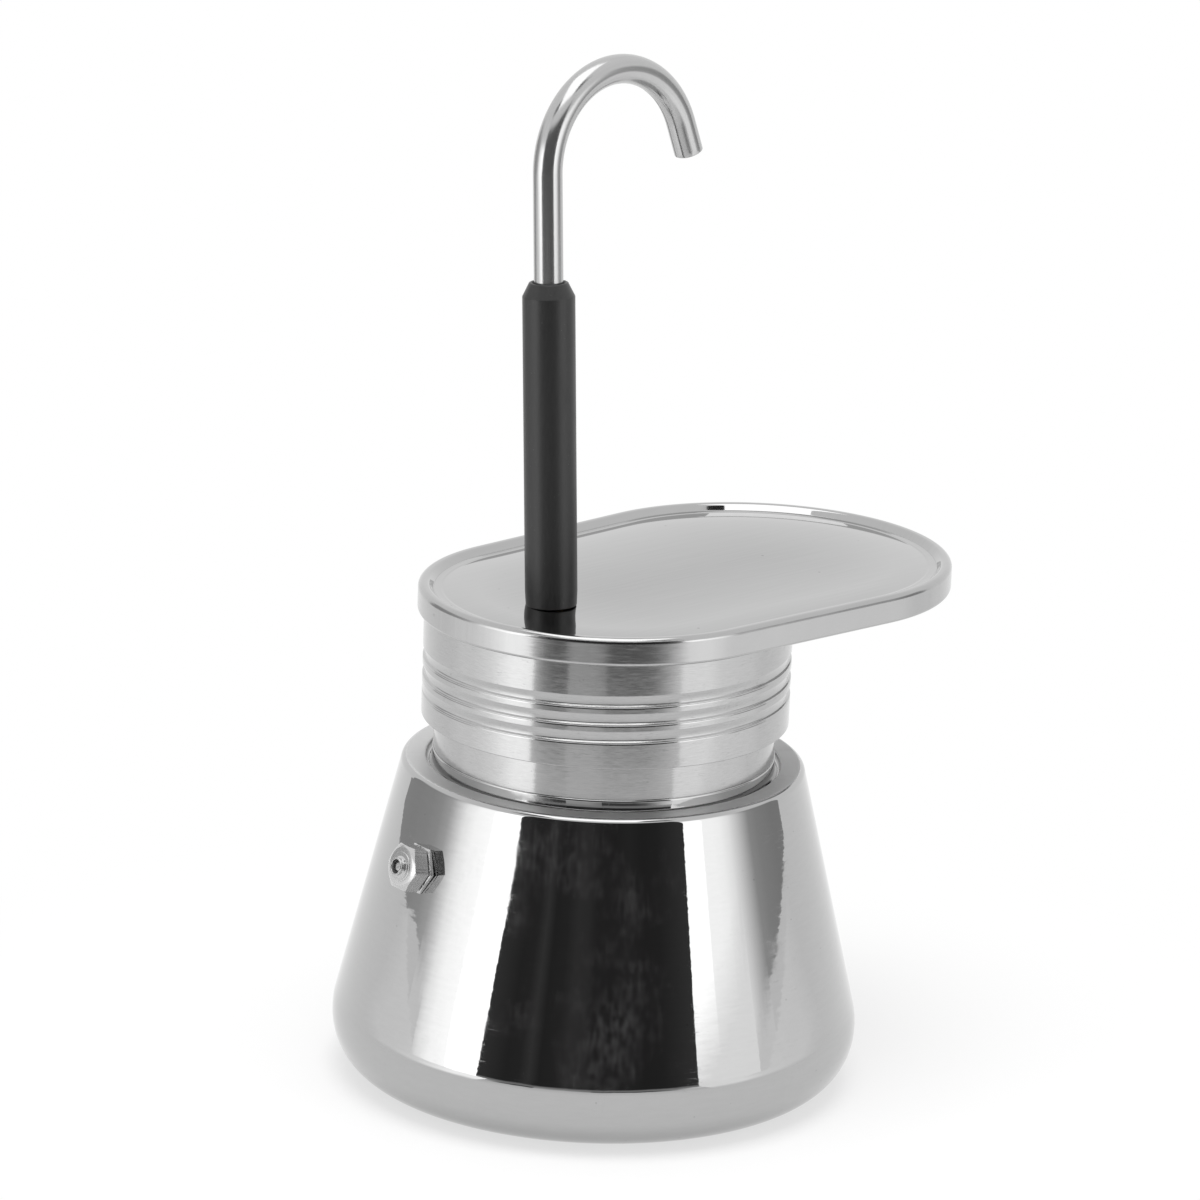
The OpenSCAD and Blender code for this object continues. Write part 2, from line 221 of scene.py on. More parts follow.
def mesh_object(name, bm, material, body, nodes=()):
    """Makes an object from bm, puts it on its body and lets it stand for its CAD nodes."""
    bmesh.ops.remove_doubles(bm, verts=bm.verts, dist=1e-6)
    bmesh.ops.recalc_face_normals(bm, faces=bm.faces)
    for f in bm.faces:
        f.smooth = True
    me = bpy.data.meshes.new(name)
    bm.to_mesh(me)
    bm.free()
    me.materials.append(material)
    obj = bpy.data.objects.new(name, me)
    bpy.context.scene.collection.objects.link(obj)
    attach(obj, body)
    if nodes:
        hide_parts(*nodes)
    return obj


def sharpen(obj, angle=35):
    """Marks edges sharper than the angle, so that only rounded edges are shaded round."""
    bm = bmesh.new()
    bm.from_mesh(obj.data)
    limit = radians(angle)
    for e in bm.edges:
        if len(e.link_faces) == 2 and e.calc_face_angle(0) > limit:
            e.smooth = False
    bm.to_mesh(obj.data)
    bm.free()
    return obj


def joined(first, *others):
    """One bmesh with the faces of all."""
    for bm in others:
        me = bpy.data.meshes.new("part")
        bm.to_mesh(me)
        bm.free()
        first.from_mesh(me)
        bpy.data.meshes.remove(me)
    return first


def lathe(section, segments=256, shape=None, place=None):
    """A closed section (r, z) turned about +Z. shape(angle, i, r, z) may return a changed (r, z)."""
    bm = bmesh.new()
    rings = []
    for k in range(segments):
        a = 2 * pi * k / segments
        ring = []
        for i, (r, z) in enumerate(section):
            if shape:
                r, z = shape(a, i, r, z)
            ring.append(bm.verts.new((r * cos(a) * MM, r * sin(a) * MM, z * MM)))
        rings.append(ring)
    n = len(section)
    for k in range(segments):
        one, two = rings[k], rings[(k + 1) % segments]
        for i in range(n):
            j = (i + 1) % n
            if section[i][0] < 1e-6 and section[j][0] < 1e-6:
                continue
            bm.faces.new([one[i], two[i], two[j], one[j]])
    bmesh.ops.remove_doubles(bm, verts=bm.verts, dist=1e-7)
    if place:
        bmesh.ops.transform(bm, matrix=place, verts=bm.verts)
    return bm


def round_tray(section, satin, arc_steps=104):
    """A closed section (distance out from the tray's edge, z) carried round the tray.

    A distance of None lies on the line between the centres of the two round ends.
    satin(distance, z) says how far the finish there is satin, and is kept on the mesh."""
    open_angle = atan2(TRAY_END_R - TRAY_R, sqrt(TRAY_REACH**2 - (TRAY_END_R - TRAY_R) ** 2))
    stations = []
    for k in range(arc_steps + 1):
        a = pi / 2 + open_angle + (pi - 2 * open_angle) * k / arc_steps
        stations.append((0.0, TRAY_R, a))
    for k in range(arc_steps + 1):
        a = -pi / 2 - open_angle + (pi + 2 * open_angle) * k / arc_steps
        stations.append((TRAY_REACH, TRAY_END_R, a))
    bm = bmesh.new()
    layer = bm.verts.layers.float.new("satin")
    rings = []
    for x, big, a in stations:
        ring = []
        for d, z in section:
            r = 0.0 if d is None else big + d
            v = bm.verts.new(((x + r * cos(a)) * MM, r * sin(a) * MM, z * MM))
            v[layer] = 0.0 if d is None else satin(d, z)
            ring.append(v)
        rings.append(ring)
    n = len(section)
    for k in range(len(rings)):
        one, two = rings[k], rings[(k + 1) % len(rings)]
        same_centre = stations[k][0] == stations[(k + 1) % len(rings)][0]
        for i in range(n):
            j = (i + 1) % n
            if section[i][0] is None and section[j][0] is None and same_centre:
                continue
            bm.faces.new([one[i], two[i], two[j], one[j]])
    bmesh.ops.remove_doubles(bm, verts=bm.verts, dist=1e-7)
    return bm


def hex_blank(width, z0, z1, chamfer, hole_r, place):
    """A hexagonal nut with its outer corners turned off at the front end and a hole through it."""
    bm = bmesh.new()
    corner = width / 2 / cos(pi / 6)
    flat_steps = 10
    turned = 6
    rows = [(z0, 0.0)]
    for k in range(turned + 1):
        rows.append((z1 - chamfer + chamfer * k / turned, chamfer * 2 * k / turned))
    loops = []
    for z, cut in rows:
        loop = []
        for side in range(6):
            a = pi / 3 * side + pi / 6
            p = Vector((cos(a), sin(a))) * corner
            q = Vector((cos(a + pi / 3), sin(a + pi / 3))) * corner
            for k in range(flat_steps):
                v = p.lerp(q, k / flat_steps)
                if v.length > corner - cut:
                    v = v.normalized() * (corner - cut)
                loop.append((v.x, v.y, z))
        loops.append(loop)
    for z in (z1, z0):
        loops.append([(*(Vector(p[:2]).normalized() * hole_r), z) for p in loops[0]])
    verts = [[bm.verts.new((x * MM, y * MM, z * MM)) for x, y, z in loop] for loop in loops]
    n = len(verts[0])
    for i in range(len(verts)):
        one, two = verts[i], verts[(i + 1) % len(verts)]
        for k in range(n):
            bm.faces.new([one[k], one[(k + 1) % n], two[(k + 1) % n], two[k]])
    bmesh.ops.transform(bm, matrix=place, verts=bm.verts)
    return bm


def on_tube_axis():
    """The tube's foot on the deck, with +Z along the leaning tube."""
    foot = Vector((-TUBE_BACK, 0, TRAY_TOP_Z - CORE_RECESS)) * MM
    return Matrix.Translation(foot) @ Matrix.Rotation(-TUBE_LEAN, 4, "X")


def on_valve_axis():
    """The point where the valve's axis meets the cone, with +Z outwards along that axis."""
    r = cone_r(VALVE_Z)
    foot = Vector((r * cos(VALVE_ANGLE), r * sin(VALVE_ANGLE), VALVE_Z)) * MM
    turn = Matrix.Rotation(VALVE_ANGLE, 4, "Z") @ Matrix.Rotation(pi / 2 - CONE_ANGLE, 4, "Y")
    return Matrix.Translation(foot) @ turn


def cone_r(z, inset=0.0):
    """Radius of the boiler's cone at height z, set in square to its face."""
    return CONE_FOOT_R - (z - CONE_FOOT_Z) * tan(CONE_ANGLE) - inset / cos(CONE_ANGLE)


def corner_curve(inset=0.0, steps=28):
    """The boiler's rounded bottom corner from its flat base to the cone."""
    tip = Vector((CONE_FOOT_R + CONE_FOOT_Z * tan(CONE_ANGLE), 0))
    a = Vector((BASE_R, 0))
    b = Vector((CONE_FOOT_R, CONE_FOOT_Z))
    p = a + (tip - a) * CORNER_PULL_LOW
    q = b + (tip - b) * CORNER_PULL_HIGH
    pts = []
    for k in range(steps + 1):
        u = k / steps
        v = 1 - u
        pos = a * v**3 + p * 3 * v * v * u + q * 3 * v * u * u + b * u**3
        run = (p - a) * v * v + (q - p) * 2 * v * u + (b - q) * u * u
        inward = Vector((-run.y, run.x)).normalized()
        pos = pos + inward * inset
        pts.append((pos.x, pos.y))
    return pts


def oval_arc(cx, cz, rx, rz, a0, a1, steps):
    """Points of an elliptical arc about (cx, cz)."""
    out = []
    for k in range(steps + 1):
        a = radians(a0 + (a1 - a0) * k / steps)
        out.append((cx + rx * cos(a), cz + rz * sin(a)))
    return out


# ---------------------------------------------------------------- the rolled thread


def thread_offset(angle, z, turns, start_z, pitch=PITCH):
    """Height above the nearest turn's middle, and how far that turn is from either end in turns."""
    lead = ((angle - THREAD_START) / (2 * pi)) % 1.0
    k = floor((z - start_z) / pitch - lead + 0.5)
    k = min(max(k, 0), floor(turns - lead))
    t = lead + k
    return z - (start_z + pitch * t), min(t, turns - t)


def swell(d, width, flat=0.35):
    """1 over the middle of a ridge of the given width, falling smoothly to 0 at its foot."""
    u = abs(d) / (width / 2)
    if u >= 1:
        return 0.0
    if u <= flat:
        return 1.0
    return 0.5 + 0.5 * cos(pi * (u - flat) / (1 - flat))


def run_out(left):
    """Fades a thread in and out over a sixth of a turn at its ends."""
    fade = min(1.0, max(0.0, left * 6))
    return fade * fade * (3 - 2 * fade)


def ridge(angle, z, turns, start_z, height, width, pitch=PITCH):
    """Height of a helical ridge at a place on the wall."""
    d, left = thread_offset(angle, z, turns, start_z, pitch)
    return height * swell(d, width) * run_out(left)


def rolled_groove(angle, z):
    """Depth of the groove that the rolled thread leaves outside: hollow above, a quick return below."""
    d, left = thread_offset(angle, z, COLLAR_TURNS, THREAD_START_Z)
    down = GROOVE_W / 2 - d
    hollow = 1.5
    back = 0.36
    if down <= 0:
        depth = 0.0
    elif down < hollow:
        depth = GROOVE_DEPTH * (1 - (1 - down / hollow) ** 2)
    elif down < hollow + back:
        u = (down - hollow) / back
        depth = GROOVE_DEPTH * (1 - u * u * (3 - 2 * u))
    else:
        depth = 0.05 * swell(down - hollow - back - 0.16, 0.24, 0.1)
    return depth * run_out(left)


# ---------------------------------------------------------------- what repeats: Geometry Nodes


class Nodes:
    """Short names for building a node tree."""

    def __init__(self, tree):
        self.tree = tree
        self.nodes = tree.nodes
        self.links = tree.links

    def add(self, kind, inputs=None, **settings):
        node = self.nodes.new(kind)
        for key, value in settings.items():
            setattr(node, key, value)
        for key, value in (inputs or {}).items():
            if isinstance(value, bpy.types.NodeSocket):
                self.links.new(value, node.inputs[key])
            else:
                node.inputs[key].default_value = value
        return node

    def math(self, op, a, b=0.0, c=0.0, clamp=False):
        node = self.add("ShaderNodeMath", {0: a, 1: b, 2: c}, operation=op, use_clamp=clamp)
        return node.outputs[0]

    def vector(self, op, a, b=(0, 0, 0), scale=None):
        node = self.add("ShaderNodeVectorMath", {0: a, 1: b}, operation=op)
        if scale is not None:
            if isinstance(scale, bpy.types.NodeSocket):
                self.links.new(scale, node.inputs["Scale"])
            else:
                node.inputs["Scale"].default_value = scale
        return node.outputs[0]

    def remap(self, value, a, b, c=0.0, d=1.0, smooth=False):
        ends = {"Value": value, "From Min": a, "From Max": b, "To Min": c, "To Max": d}
        node = self.add("ShaderNodeMapRange", ends)
        if smooth:
            node.interpolation_type = "SMOOTHSTEP"
        return node.outputs[0]

    def noise(self, vector, scale, detail=2.0, rough=0.5):
        inputs = {"Vector": vector, "Scale": scale, "Detail": detail, "Roughness": rough}
        return self.add("ShaderNodeTexNoise", inputs).outputs[0]

    def join(self, *shapes):
        node = self.nodes.new("GeometryNodeJoinGeometry")
        for shape in shapes:
            self.links.new(shape, node.inputs[0])
        return node.outputs[0]


def shape_tree(name, sizes, with_mesh=False):
    """A Geometry Nodes tree with named sizes as inputs, and its input and output nodes."""
    tree = bpy.data.node_groups.new(name, "GeometryNodeTree")
    if with_mesh:
        tree.interface.new_socket("Mesh", in_out="INPUT", socket_type="NodeSocketGeometry")
    for size in sizes:
        tree.interface.new_socket(size, in_out="INPUT", socket_type="NodeSocketFloat")
    tree.interface.new_socket("Mesh", in_out="OUTPUT", socket_type="NodeSocketGeometry")
    n = Nodes(tree)
    return tree, n, n.add("NodeGroupInput"), n.add("NodeGroupOutput")


def close_tree(n, shape, out, material):
    solid = n.add("GeometryNodeRealizeInstances", {0: shape}).outputs[0]
    n.links.new(n.add("GeometryNodeSetMaterial", {0: solid, "Material": material}).outputs[0], out.inputs[0])


def grown(tree, sizes, base=None):
    """The mesh that the tree makes with these sizes, as a bmesh; base is the mesh it starts from."""
    me = bpy.data.meshes.new("base")
    if base:
        base.to_mesh(me)
        base.free()
    obj = bpy.data.objects.new("growing", me)
    bpy.context.scene.collection.objects.link(obj)
    mod = obj.modifiers.new("shape", "NODES")
    mod.node_group = tree
    for item in tree.interface.items_tree:
        if item.in_out == "INPUT" and item.name in sizes:
            mod[item.identifier] = float(sizes[item.name])
    view = bpy.context.evaluated_depsgraph_get()
    made = bpy.data.meshes.new_from_object(obj.evaluated_get(view))
    bm = bmesh.new()
    bm.from_mesh(made)
    for f in bm.faces:
        f.material_index = 0
    bpy.data.objects.remove(obj)
    bpy.data.meshes.remove(me)
    bpy.data.meshes.remove(made)
    return bm


def punched_holes(material):
    """Punches rings of round holes, and one in the middle, through a plate."""
    sizes = ["Hole Radius", "Ring Step", "Height", "Depth"]
    tree, n, given, out = shape_tree("punched holes", sizes, True)
    rings = []
    for ring in range(1, HOLE_RINGS + 1):
        radius = n.math("MULTIPLY", given.outputs["Ring Step"], float(ring))
        circle = n.add("GeometryNodeMeshCircle", {"Vertices": 6 * ring, "Radius": radius})
        rings.append(circle.outputs[0])
    middle = n.add("GeometryNodeMeshLine", {"Count": 1}, mode="OFFSET").outputs[0]
    rim = n.join(middle, *rings)
    height = n.add("ShaderNodeCombineXYZ", {"Z": given.outputs["Height"]}).outputs[0]
    rim = n.add("GeometryNodeTransform", {0: rim, "Translation": height}).outputs[0]
    punch = n.add("GeometryNodeMeshCylinder", {
        "Vertices": 16, "Radius": given.outputs["Hole Radius"], "Depth": given.outputs["Depth"],
    }).outputs[0]
    punches = n.add("GeometryNodeInstanceOnPoints", {"Points": rim, "Instance": punch}).outputs[0]
    punches = n.add("GeometryNodeRealizeInstances", {0: punches}).outputs[0]
    cut = n.add("GeometryNodeMeshBoolean", {"Mesh 1": given.outputs["Mesh"], "Mesh 2": punches},
                operation="DIFFERENCE")
    cut.solver = "EXACT"
    close_tree(n, cut.outputs[0], out, material)
    return tree


def wound_wire(material):
    """A wire wound into an open coil along +Z."""
    sizes = ["Coil Radius", "Wire Radius", "Turns", "Length"]
    tree, n, given, out = shape_tree("wound wire", sizes)
    coil = n.add("GeometryNodeCurveSpiral", {
        "Resolution": 28, "Rotations": given.outputs["Turns"], "Start Radius": given.outputs["Coil Radius"],
        "End Radius": given.outputs["Coil Radius"], "Height": given.outputs["Length"],
    }).outputs[0]
    wire = n.add("GeometryNodeCurvePrimitiveCircle", {
        "Resolution": 10, "Radius": given.outputs["Wire Radius"],
    }, mode="RADIUS").outputs[0]
    swept = {"Curve": coil, "Profile Curve": wire, "Fill Caps": True}
    coil = n.add("GeometryNodeCurveToMesh", swept).outputs[0]
    close_tree(n, coil, out, material)
    return tree


# ---------------------------------------------------------------- finishes that several materials share


def finish_group(name, inputs, outputs):
    """A shader node group with float inputs (name: default) and named outputs (name: socket type)."""
    tree = bpy.data.node_groups.new(name, "ShaderNodeTree")
    for key, value in inputs.items():
        kind = "NodeSocketVector" if value is None else "NodeSocketFloat"
        socket = tree.interface.new_socket(key, in_out="INPUT", socket_type=kind)
        if value is not None:
            socket.default_value = value
    for key, kind in outputs.items():
        tree.interface.new_socket(key, in_out="OUTPUT", socket_type=kind)
    n = Nodes(tree)
    return tree, n, n.add("NodeGroupInput").outputs, n.add("NodeGroupOutput").inputs


def round_place(n):
    """Where a point lies round the pot's axis, in mm: its direction times a fixed radius, and its height."""
    place = n.add("ShaderNodeTexCoord").outputs["Object"]
    part = n.add("ShaderNodeSeparateXYZ", {0: place})
    flat = n.add("ShaderNodeCombineXYZ", {"X": part.outputs[0], "Y": part.outputs[1]}).outputs[0]
    out = n.vector("NORMALIZE", flat)
    return out, n.math("MULTIPLY", part.outputs[2], 1000.0)


def turned_lines_group():
    """Leans the surface a little, in lines round the axis or up it, as turning or rolling leaves it."""
    tree, n, given, out = finish_group(
        "turned lines",
        {"Normal": None, "Around": 0.5, "Up": 5.0, "Side Lean": 0.02, "Up Lean": 0.02, "Shift": 0.0},
        {"Normal": "NodeSocketVector", "Lines": "NodeSocketFloat"},
    )
    outwards, z = round_place(n)
    around = n.math("MULTIPLY", given["Around"], 35.0)
    wrapped = n.vector("SCALE", outwards, scale=around)
    high = n.math("MULTIPLY", z, given["Up"])
    high = n.math("ADD", high, given["Shift"])
    place = n.vector("ADD", wrapped, n.add("ShaderNodeCombineXYZ", {"Z": high}).outputs[0])
    side = n.noise(place, 1.0, 3.0, 0.6)
    moved = n.vector("ADD", place, (17.0, 5.0, 9.0))
    up = n.noise(moved, 1.0, 3.0, 0.6)
    part = n.add("ShaderNodeSeparateXYZ", {0: outwards})
    left = n.math("MULTIPLY", part.outputs[1], -1.0)
    along = n.add("ShaderNodeCombineXYZ", {"X": left, "Y": part.outputs[0]}).outputs[0]
    along = n.add("ShaderNodeVectorTransform", {0: along}, vector_type="NORMAL",
                  convert_from="OBJECT", convert_to="WORLD").outputs[0]
    side_lean = n.math("MULTIPLY", n.math("SUBTRACT", side, 0.5), given["Side Lean"])
    up_lean = n.math("MULTIPLY", n.math("SUBTRACT", up, 0.5), given["Up Lean"])
    sideways = n.vector("SCALE", along, scale=side_lean)
    lean = n.vector("ADD", sideways, n.vector("SCALE", (0, 0, 1), scale=up_lean))
    n.links.new(n.vector("NORMALIZE", n.vector("ADD", given["Normal"], lean)), out["Normal"])
    n.links.new(side, out["Lines"])
    return tree


def handling_marks_group():
    """Masks of the marks on a worked and handled surface: long scratches, tiny specks, wiped patches."""
    tree, n, given, out = finish_group(
        "handling marks",
        {"Scratch Scale": 0.10, "Speck Scale": 0.7, "Patch Scale": 0.06},
        {"Scratches": "NodeSocketFloat", "Specks": "NodeSocketFloat", "Patches": "NodeSocketFloat"},
    )
    outwards, z = round_place(n)
    around = n.math("MULTIPLY", given["Scratch Scale"], 30.0)
    wrapped = n.vector("SCALE", outwards, scale=around)
    high = n.add("ShaderNodeCombineXYZ", {"Z": n.math("MULTIPLY", z, 1.6)}).outputs[0]
    long_noise = n.noise(n.vector("ADD", wrapped, high), 1.0, 2.0, 0.5)
    thin = n.math("ABSOLUTE", n.math("SUBTRACT", long_noise, 0.5))
    line = n.remap(thin, 0.0, 0.012, 1.0, 0.0)
    place = n.add("ShaderNodeTexCoord").outputs["Object"]
    place = n.vector("SCALE", place, scale=1000.0)
    patch_place = n.vector("SCALE", place, scale=given["Patch Scale"])
    patch = n.noise(patch_place, 1.0, 4.0, 0.62)
    broken = n.remap(n.noise(patch_place, 4.0, 2.0), 0.52, 0.60)
    n.links.new(n.math("MULTIPLY", line, broken), out["Scratches"])
    cell = n.add("ShaderNodeTexVoronoi", {"Vector": place, "Scale": given["Speck Scale"]})
    dot = n.remap(cell.outputs["Distance"], 0.05, 0.09, 1.0, 0.0)
    chance = n.add("ShaderNodeSeparateXYZ", {0: cell.outputs["Color"]}).outputs[0]
    rare = n.math("GREATER_THAN", chance, 0.82)
    n.links.new(n.math("MULTIPLY", dot, rare), out["Specks"])
    n.links.new(n.remap(patch, 0.52, 0.72, smooth=True), out["Patches"])
    return tree


TURNED_LINES = turned_lines_group()
HANDLING_MARKS = handling_marks_group()


def use_group(n, tree, inputs):
    node = n.nodes.new("ShaderNodeGroup")
    node.node_tree = tree
    for key, value in inputs.items():
        if isinstance(value, bpy.types.NodeSocket):
            n.links.new(value, node.inputs[key])
        else:
            node.inputs[key].default_value = value
    return node.outputs


def new_material(name, rough, metallic=0.0):
    mat = bpy.data.materials.new(name)
    mat.use_nodes = True
    shader = mat.node_tree.nodes["Principled BSDF"]
    shader.inputs["Metallic"].default_value = metallic
    shader.inputs["Roughness"].default_value = rough
    return mat, Nodes(mat.node_tree), shader


def grey(n, value):
    """A colour socket from a brightness."""
    return n.add("ShaderNodeCombineColor", {0: value, 1: value, 2: value}).outputs[0]


def tinted(n, value, colour):
    parts = [n.math("MULTIPLY", value, c) for c in colour]
    return n.add("ShaderNodeCombineColor", {0: parts[0], 1: parts[1], 2: parts[2]}).outputs[0]


def bare_normal(n):
    return n.add("ShaderNodeNewGeometry").outputs["Normal"]


def polished_steel():
    """Mirror of the boiler: waves, polishing strokes, hazy patches and scratches, and a satin top ring whose
    lighter tone is painted light from above.
    """
    mat, n, shader = new_material("mirror polished steel", 0.03, 1.0)
    waves = use_group(n, TURNED_LINES, {
        "Normal": bare_normal(n), "Around": 0.30, "Up": 0.05, "Side Lean": 0.006, "Up Lean": 0.006,
    })
    strokes = use_group(n, TURNED_LINES, {
        "Normal": waves["Normal"], "Around": 0.35, "Up": 1.5,
        "Side Lean": 0.013, "Up Lean": 0.012, "Shift": 31.0,
    })
    marks = use_group(n, HANDLING_MARKS, {"Scratch Scale": 0.12, "Speck Scale": 0.5, "Patch Scale": 0.055})
    scuffs = use_group(n, TURNED_LINES, {
        "Normal": strokes["Normal"], "Around": 1.3, "Up": 0.45,
        "Side Lean": n.math("MULTIPLY", marks["Patches"], 0.025),
        "Up Lean": n.math("MULTIPLY", marks["Patches"], 0.02), "Shift": 5.0,
    })
    place = n.add("ShaderNodeTexCoord").outputs["Object"]
    part = n.add("ShaderNodeSeparateXYZ", {0: place})
    flat = n.add("ShaderNodeCombineXYZ", {"X": part.outputs[0], "Y": part.outputs[1]}).outputs[0]
    dist = n.add("ShaderNodeVectorMath", {0: flat}, operation="LENGTH").outputs[1]
    # mask of the shoulder's flat top ring: its rougher satin finish is real, its lifted tone is painted light
    ring = n.remap(part.outputs[2], (RING_Z - 0.12) * MM, (RING_Z - 0.03) * MM)
    ring = n.math("MULTIPLY", ring, n.remap(dist, (LIP_R - 0.2) * MM, LIP_R * MM))
    haze = n.math("MULTIPLY", marks["Patches"], n.remap(scuffs["Lines"], 0.40, 0.62))
    n.links.new(n.math("MULTIPLY_ADD", haze, -0.07, 1.0), shader.inputs["Metallic"])
    rough = n.math("MULTIPLY_ADD", marks["Patches"], 0.06, 0.025)
    rough = n.math("MULTIPLY_ADD", marks["Scratches"], 0.12, rough)
    rough = n.math("MULTIPLY_ADD", ring, 0.48, rough)
    n.links.new(rough, shader.inputs["Roughness"])
    tone = n.math("MULTIPLY_ADD", strokes["Lines"], 0.03, 0.435)
    # painted light: the top ring's tone is lifted to stand in for the overhead light that falls on it
    tone = n.math("MULTIPLY_ADD", ring, 0.20, tone)
    tone = n.math("MULTIPLY_ADD", marks["Specks"], -0.10, tone)
    n.links.new(grey(n, tone), shader.inputs["Base Color"])
    n.links.new(scuffs["Normal"], shader.inputs["Normal"])
    return mat


def turned_steel(name, tone, rough, side, up):
    """Steel with fine lines round the axis, which draw its reflections out upwards."""
    mat, n, shader = new_material(name, rough, 1.0)
    shader.inputs["Anisotropic"].default_value = 0.75
    shader.inputs["Anisotropic Rotation"].default_value = 0.25
    round_axis = n.add("ShaderNodeTangent", direction_type="RADIAL", axis="Z").outputs[0]
    n.links.new(round_axis, shader.inputs["Tangent"])
    coarse = use_group(n, TURNED_LINES, {
        "Normal": bare_normal(n), "Around": 0.16, "Up": 1.6, "Side Lean": side * 0.8, "Up Lean": up * 0.5,
    })
    fine = use_group(n, TURNED_LINES, {
        "Normal": coarse["Normal"], "Around": 0.55, "Up": 6.0,
        "Side Lean": side, "Up Lean": up, "Shift": 13.0,
    })
    marks = use_group(n, HANDLING_MARKS, {"Scratch Scale": 0.2, "Speck Scale": 0.8, "Patch Scale": 0.08})
    rough_here = n.math("MULTIPLY_ADD", fine["Lines"], 0.10, rough - 0.05)
    rough_here = n.math("MULTIPLY_ADD", marks["Patches"], 0.05, rough_here)
    n.links.new(rough_here, shader.inputs["Roughness"])
    value = n.math("MULTIPLY_ADD", fine["Lines"], 0.10, tone - 0.05)
    value = n.math("MULTIPLY_ADD", marks["Scratches"], -0.08, value)
    value = n.math("MULTIPLY_ADD", marks["Specks"], -0.12, value)
    n.links.new(grey(n, value), shader.inputs["Base Color"])
    n.links.new(fine["Normal"], shader.inputs["Normal"])
    return mat


def tray_steel():
    """Pressed tray: a bright deck with faint rolling lines, satin round its side."""
    mat, n, shader = new_material("tray steel", 0.08, 1.0)
    place = n.add("ShaderNodeTexCoord").outputs["Object"]
    side = n.add("ShaderNodeAttribute", attribute_name="satin").outputs["Fac"]
    lines = use_group(n, TURNED_LINES, {
        "Normal": bare_normal(n), "Around": 0.30, "Up": 3.0,
        "Side Lean": n.math("MULTIPLY_ADD", side, 0.05, 0.004),
        "Up Lean": n.math("MULTIPLY_ADD", side, 0.10, 0.001),
    })
    rolled = n.add("ShaderNodeMapping", {"Vector": place, "Scale": (60.0, 1400.0, 60.0)}).outputs[0]
    grain = n.noise(rolled, 1.0, 4.0, 0.6)
    marks = use_group(n, HANDLING_MARKS, {"Scratch Scale": 0.15, "Speck Scale": 0.30, "Patch Scale": 0.05})
    rough = n.math("MULTIPLY_ADD", side, 0.13, 0.04)
    rough = n.math("MULTIPLY_ADD", marks["Patches"], 0.015, rough)
    n.links.new(rough, shader.inputs["Roughness"])
    tone = n.math("MULTIPLY_ADD", grain, 0.05, 0.425)
    tone = n.math("MULTIPLY_ADD", marks["Specks"], -0.12, tone)
    n.links.new(grey(n, tone), shader.inputs["Base Color"])
    n.links.new(lines["Normal"], shader.inputs["Normal"])
    return mat


def tube_steel():
    """Drawn tube: fine lines along it and the thin dark seam inside the bend."""
    mat, n, shader = new_material("drawn tube steel", 0.13, 0.88)
    wrap = n.add("ShaderNodeUVMap", uv_map="along the tube").outputs[0]
    part = n.add("ShaderNodeSeparateXYZ", {0: wrap})
    off = n.math("ABSOLUTE", n.math("SUBTRACT", part.outputs[0], 0.46))
    seam = n.remap(off, 0.006, 0.014, 1.0, 0.0, smooth=True)
    drawn = n.add("ShaderNodeMapping", {"Vector": wrap, "Scale": (90.0, 60.0, 1.0)}).outputs[0]
    grain = n.noise(drawn, 1.0, 3.0, 0.6)
    tone = n.math("MULTIPLY_ADD", grain, 0.10, 0.42)
    tone = n.math("MULTIPLY_ADD", seam, -0.25, tone)
    n.links.new(grey(n, tone), shader.inputs["Base Color"])
    rough = n.math("MULTIPLY_ADD", grain, 0.10, 0.13)
    n.links.new(n.math("MULTIPLY_ADD", seam, 0.2, rough), shader.inputs["Roughness"])
    height = n.math("MULTIPLY_ADD", seam, -1.0, n.math("MULTIPLY", grain, 0.12))
    bump = n.add("ShaderNodeBump", {"Strength": 0.5, "Distance": 0.00004, "Height": height})
    n.links.new(bump.outputs[0], shader.inputs["Normal"])
    return mat


def machined_steel():
    """Turned and milled steel of the valve: fine rings round the valve's own axis."""
    mat, n, shader = new_material("machined steel", 0.12, 0.80)
    foot, turn, _ = on_valve_axis().decompose()
    place = n.add("ShaderNodeTexCoord").outputs["Object"]
    own = n.add("ShaderNodeMapping", {
        "Vector": place, "Location": tuple(foot), "Rotation": tuple(turn.to_euler()),
    }, vector_type="TEXTURE").outputs[0]
    part = n.add("ShaderNodeSeparateXYZ", {0: own})
    flat = n.add("ShaderNodeCombineXYZ", {"X": part.outputs[0], "Y": part.outputs[1]}).outputs[0]
    dist = n.add("ShaderNodeVectorMath", {0: flat}, operation="LENGTH").outputs[1]
    rings = n.add("ShaderNodeCombineXYZ", {"X": n.math("MULTIPLY", dist, 6000.0)}).outputs[0]
    cutter = n.noise(rings, 1.0, 2.0)
    marks = use_group(n, HANDLING_MARKS, {"Scratch Scale": 0.4, "Speck Scale": 1.5, "Patch Scale": 0.3})
    n.links.new(grey(n, n.math("MULTIPLY_ADD", cutter, 0.10, 0.50)), shader.inputs["Base Color"])
    n.links.new(n.math("MULTIPLY_ADD", marks["Patches"], 0.08, 0.15), shader.inputs["Roughness"])
    bump = n.add("ShaderNodeBump", {"Strength": 0.6, "Distance": 0.00002, "Height": cutter})
    n.links.new(bump.outputs[0], shader.inputs["Normal"])
    return mat


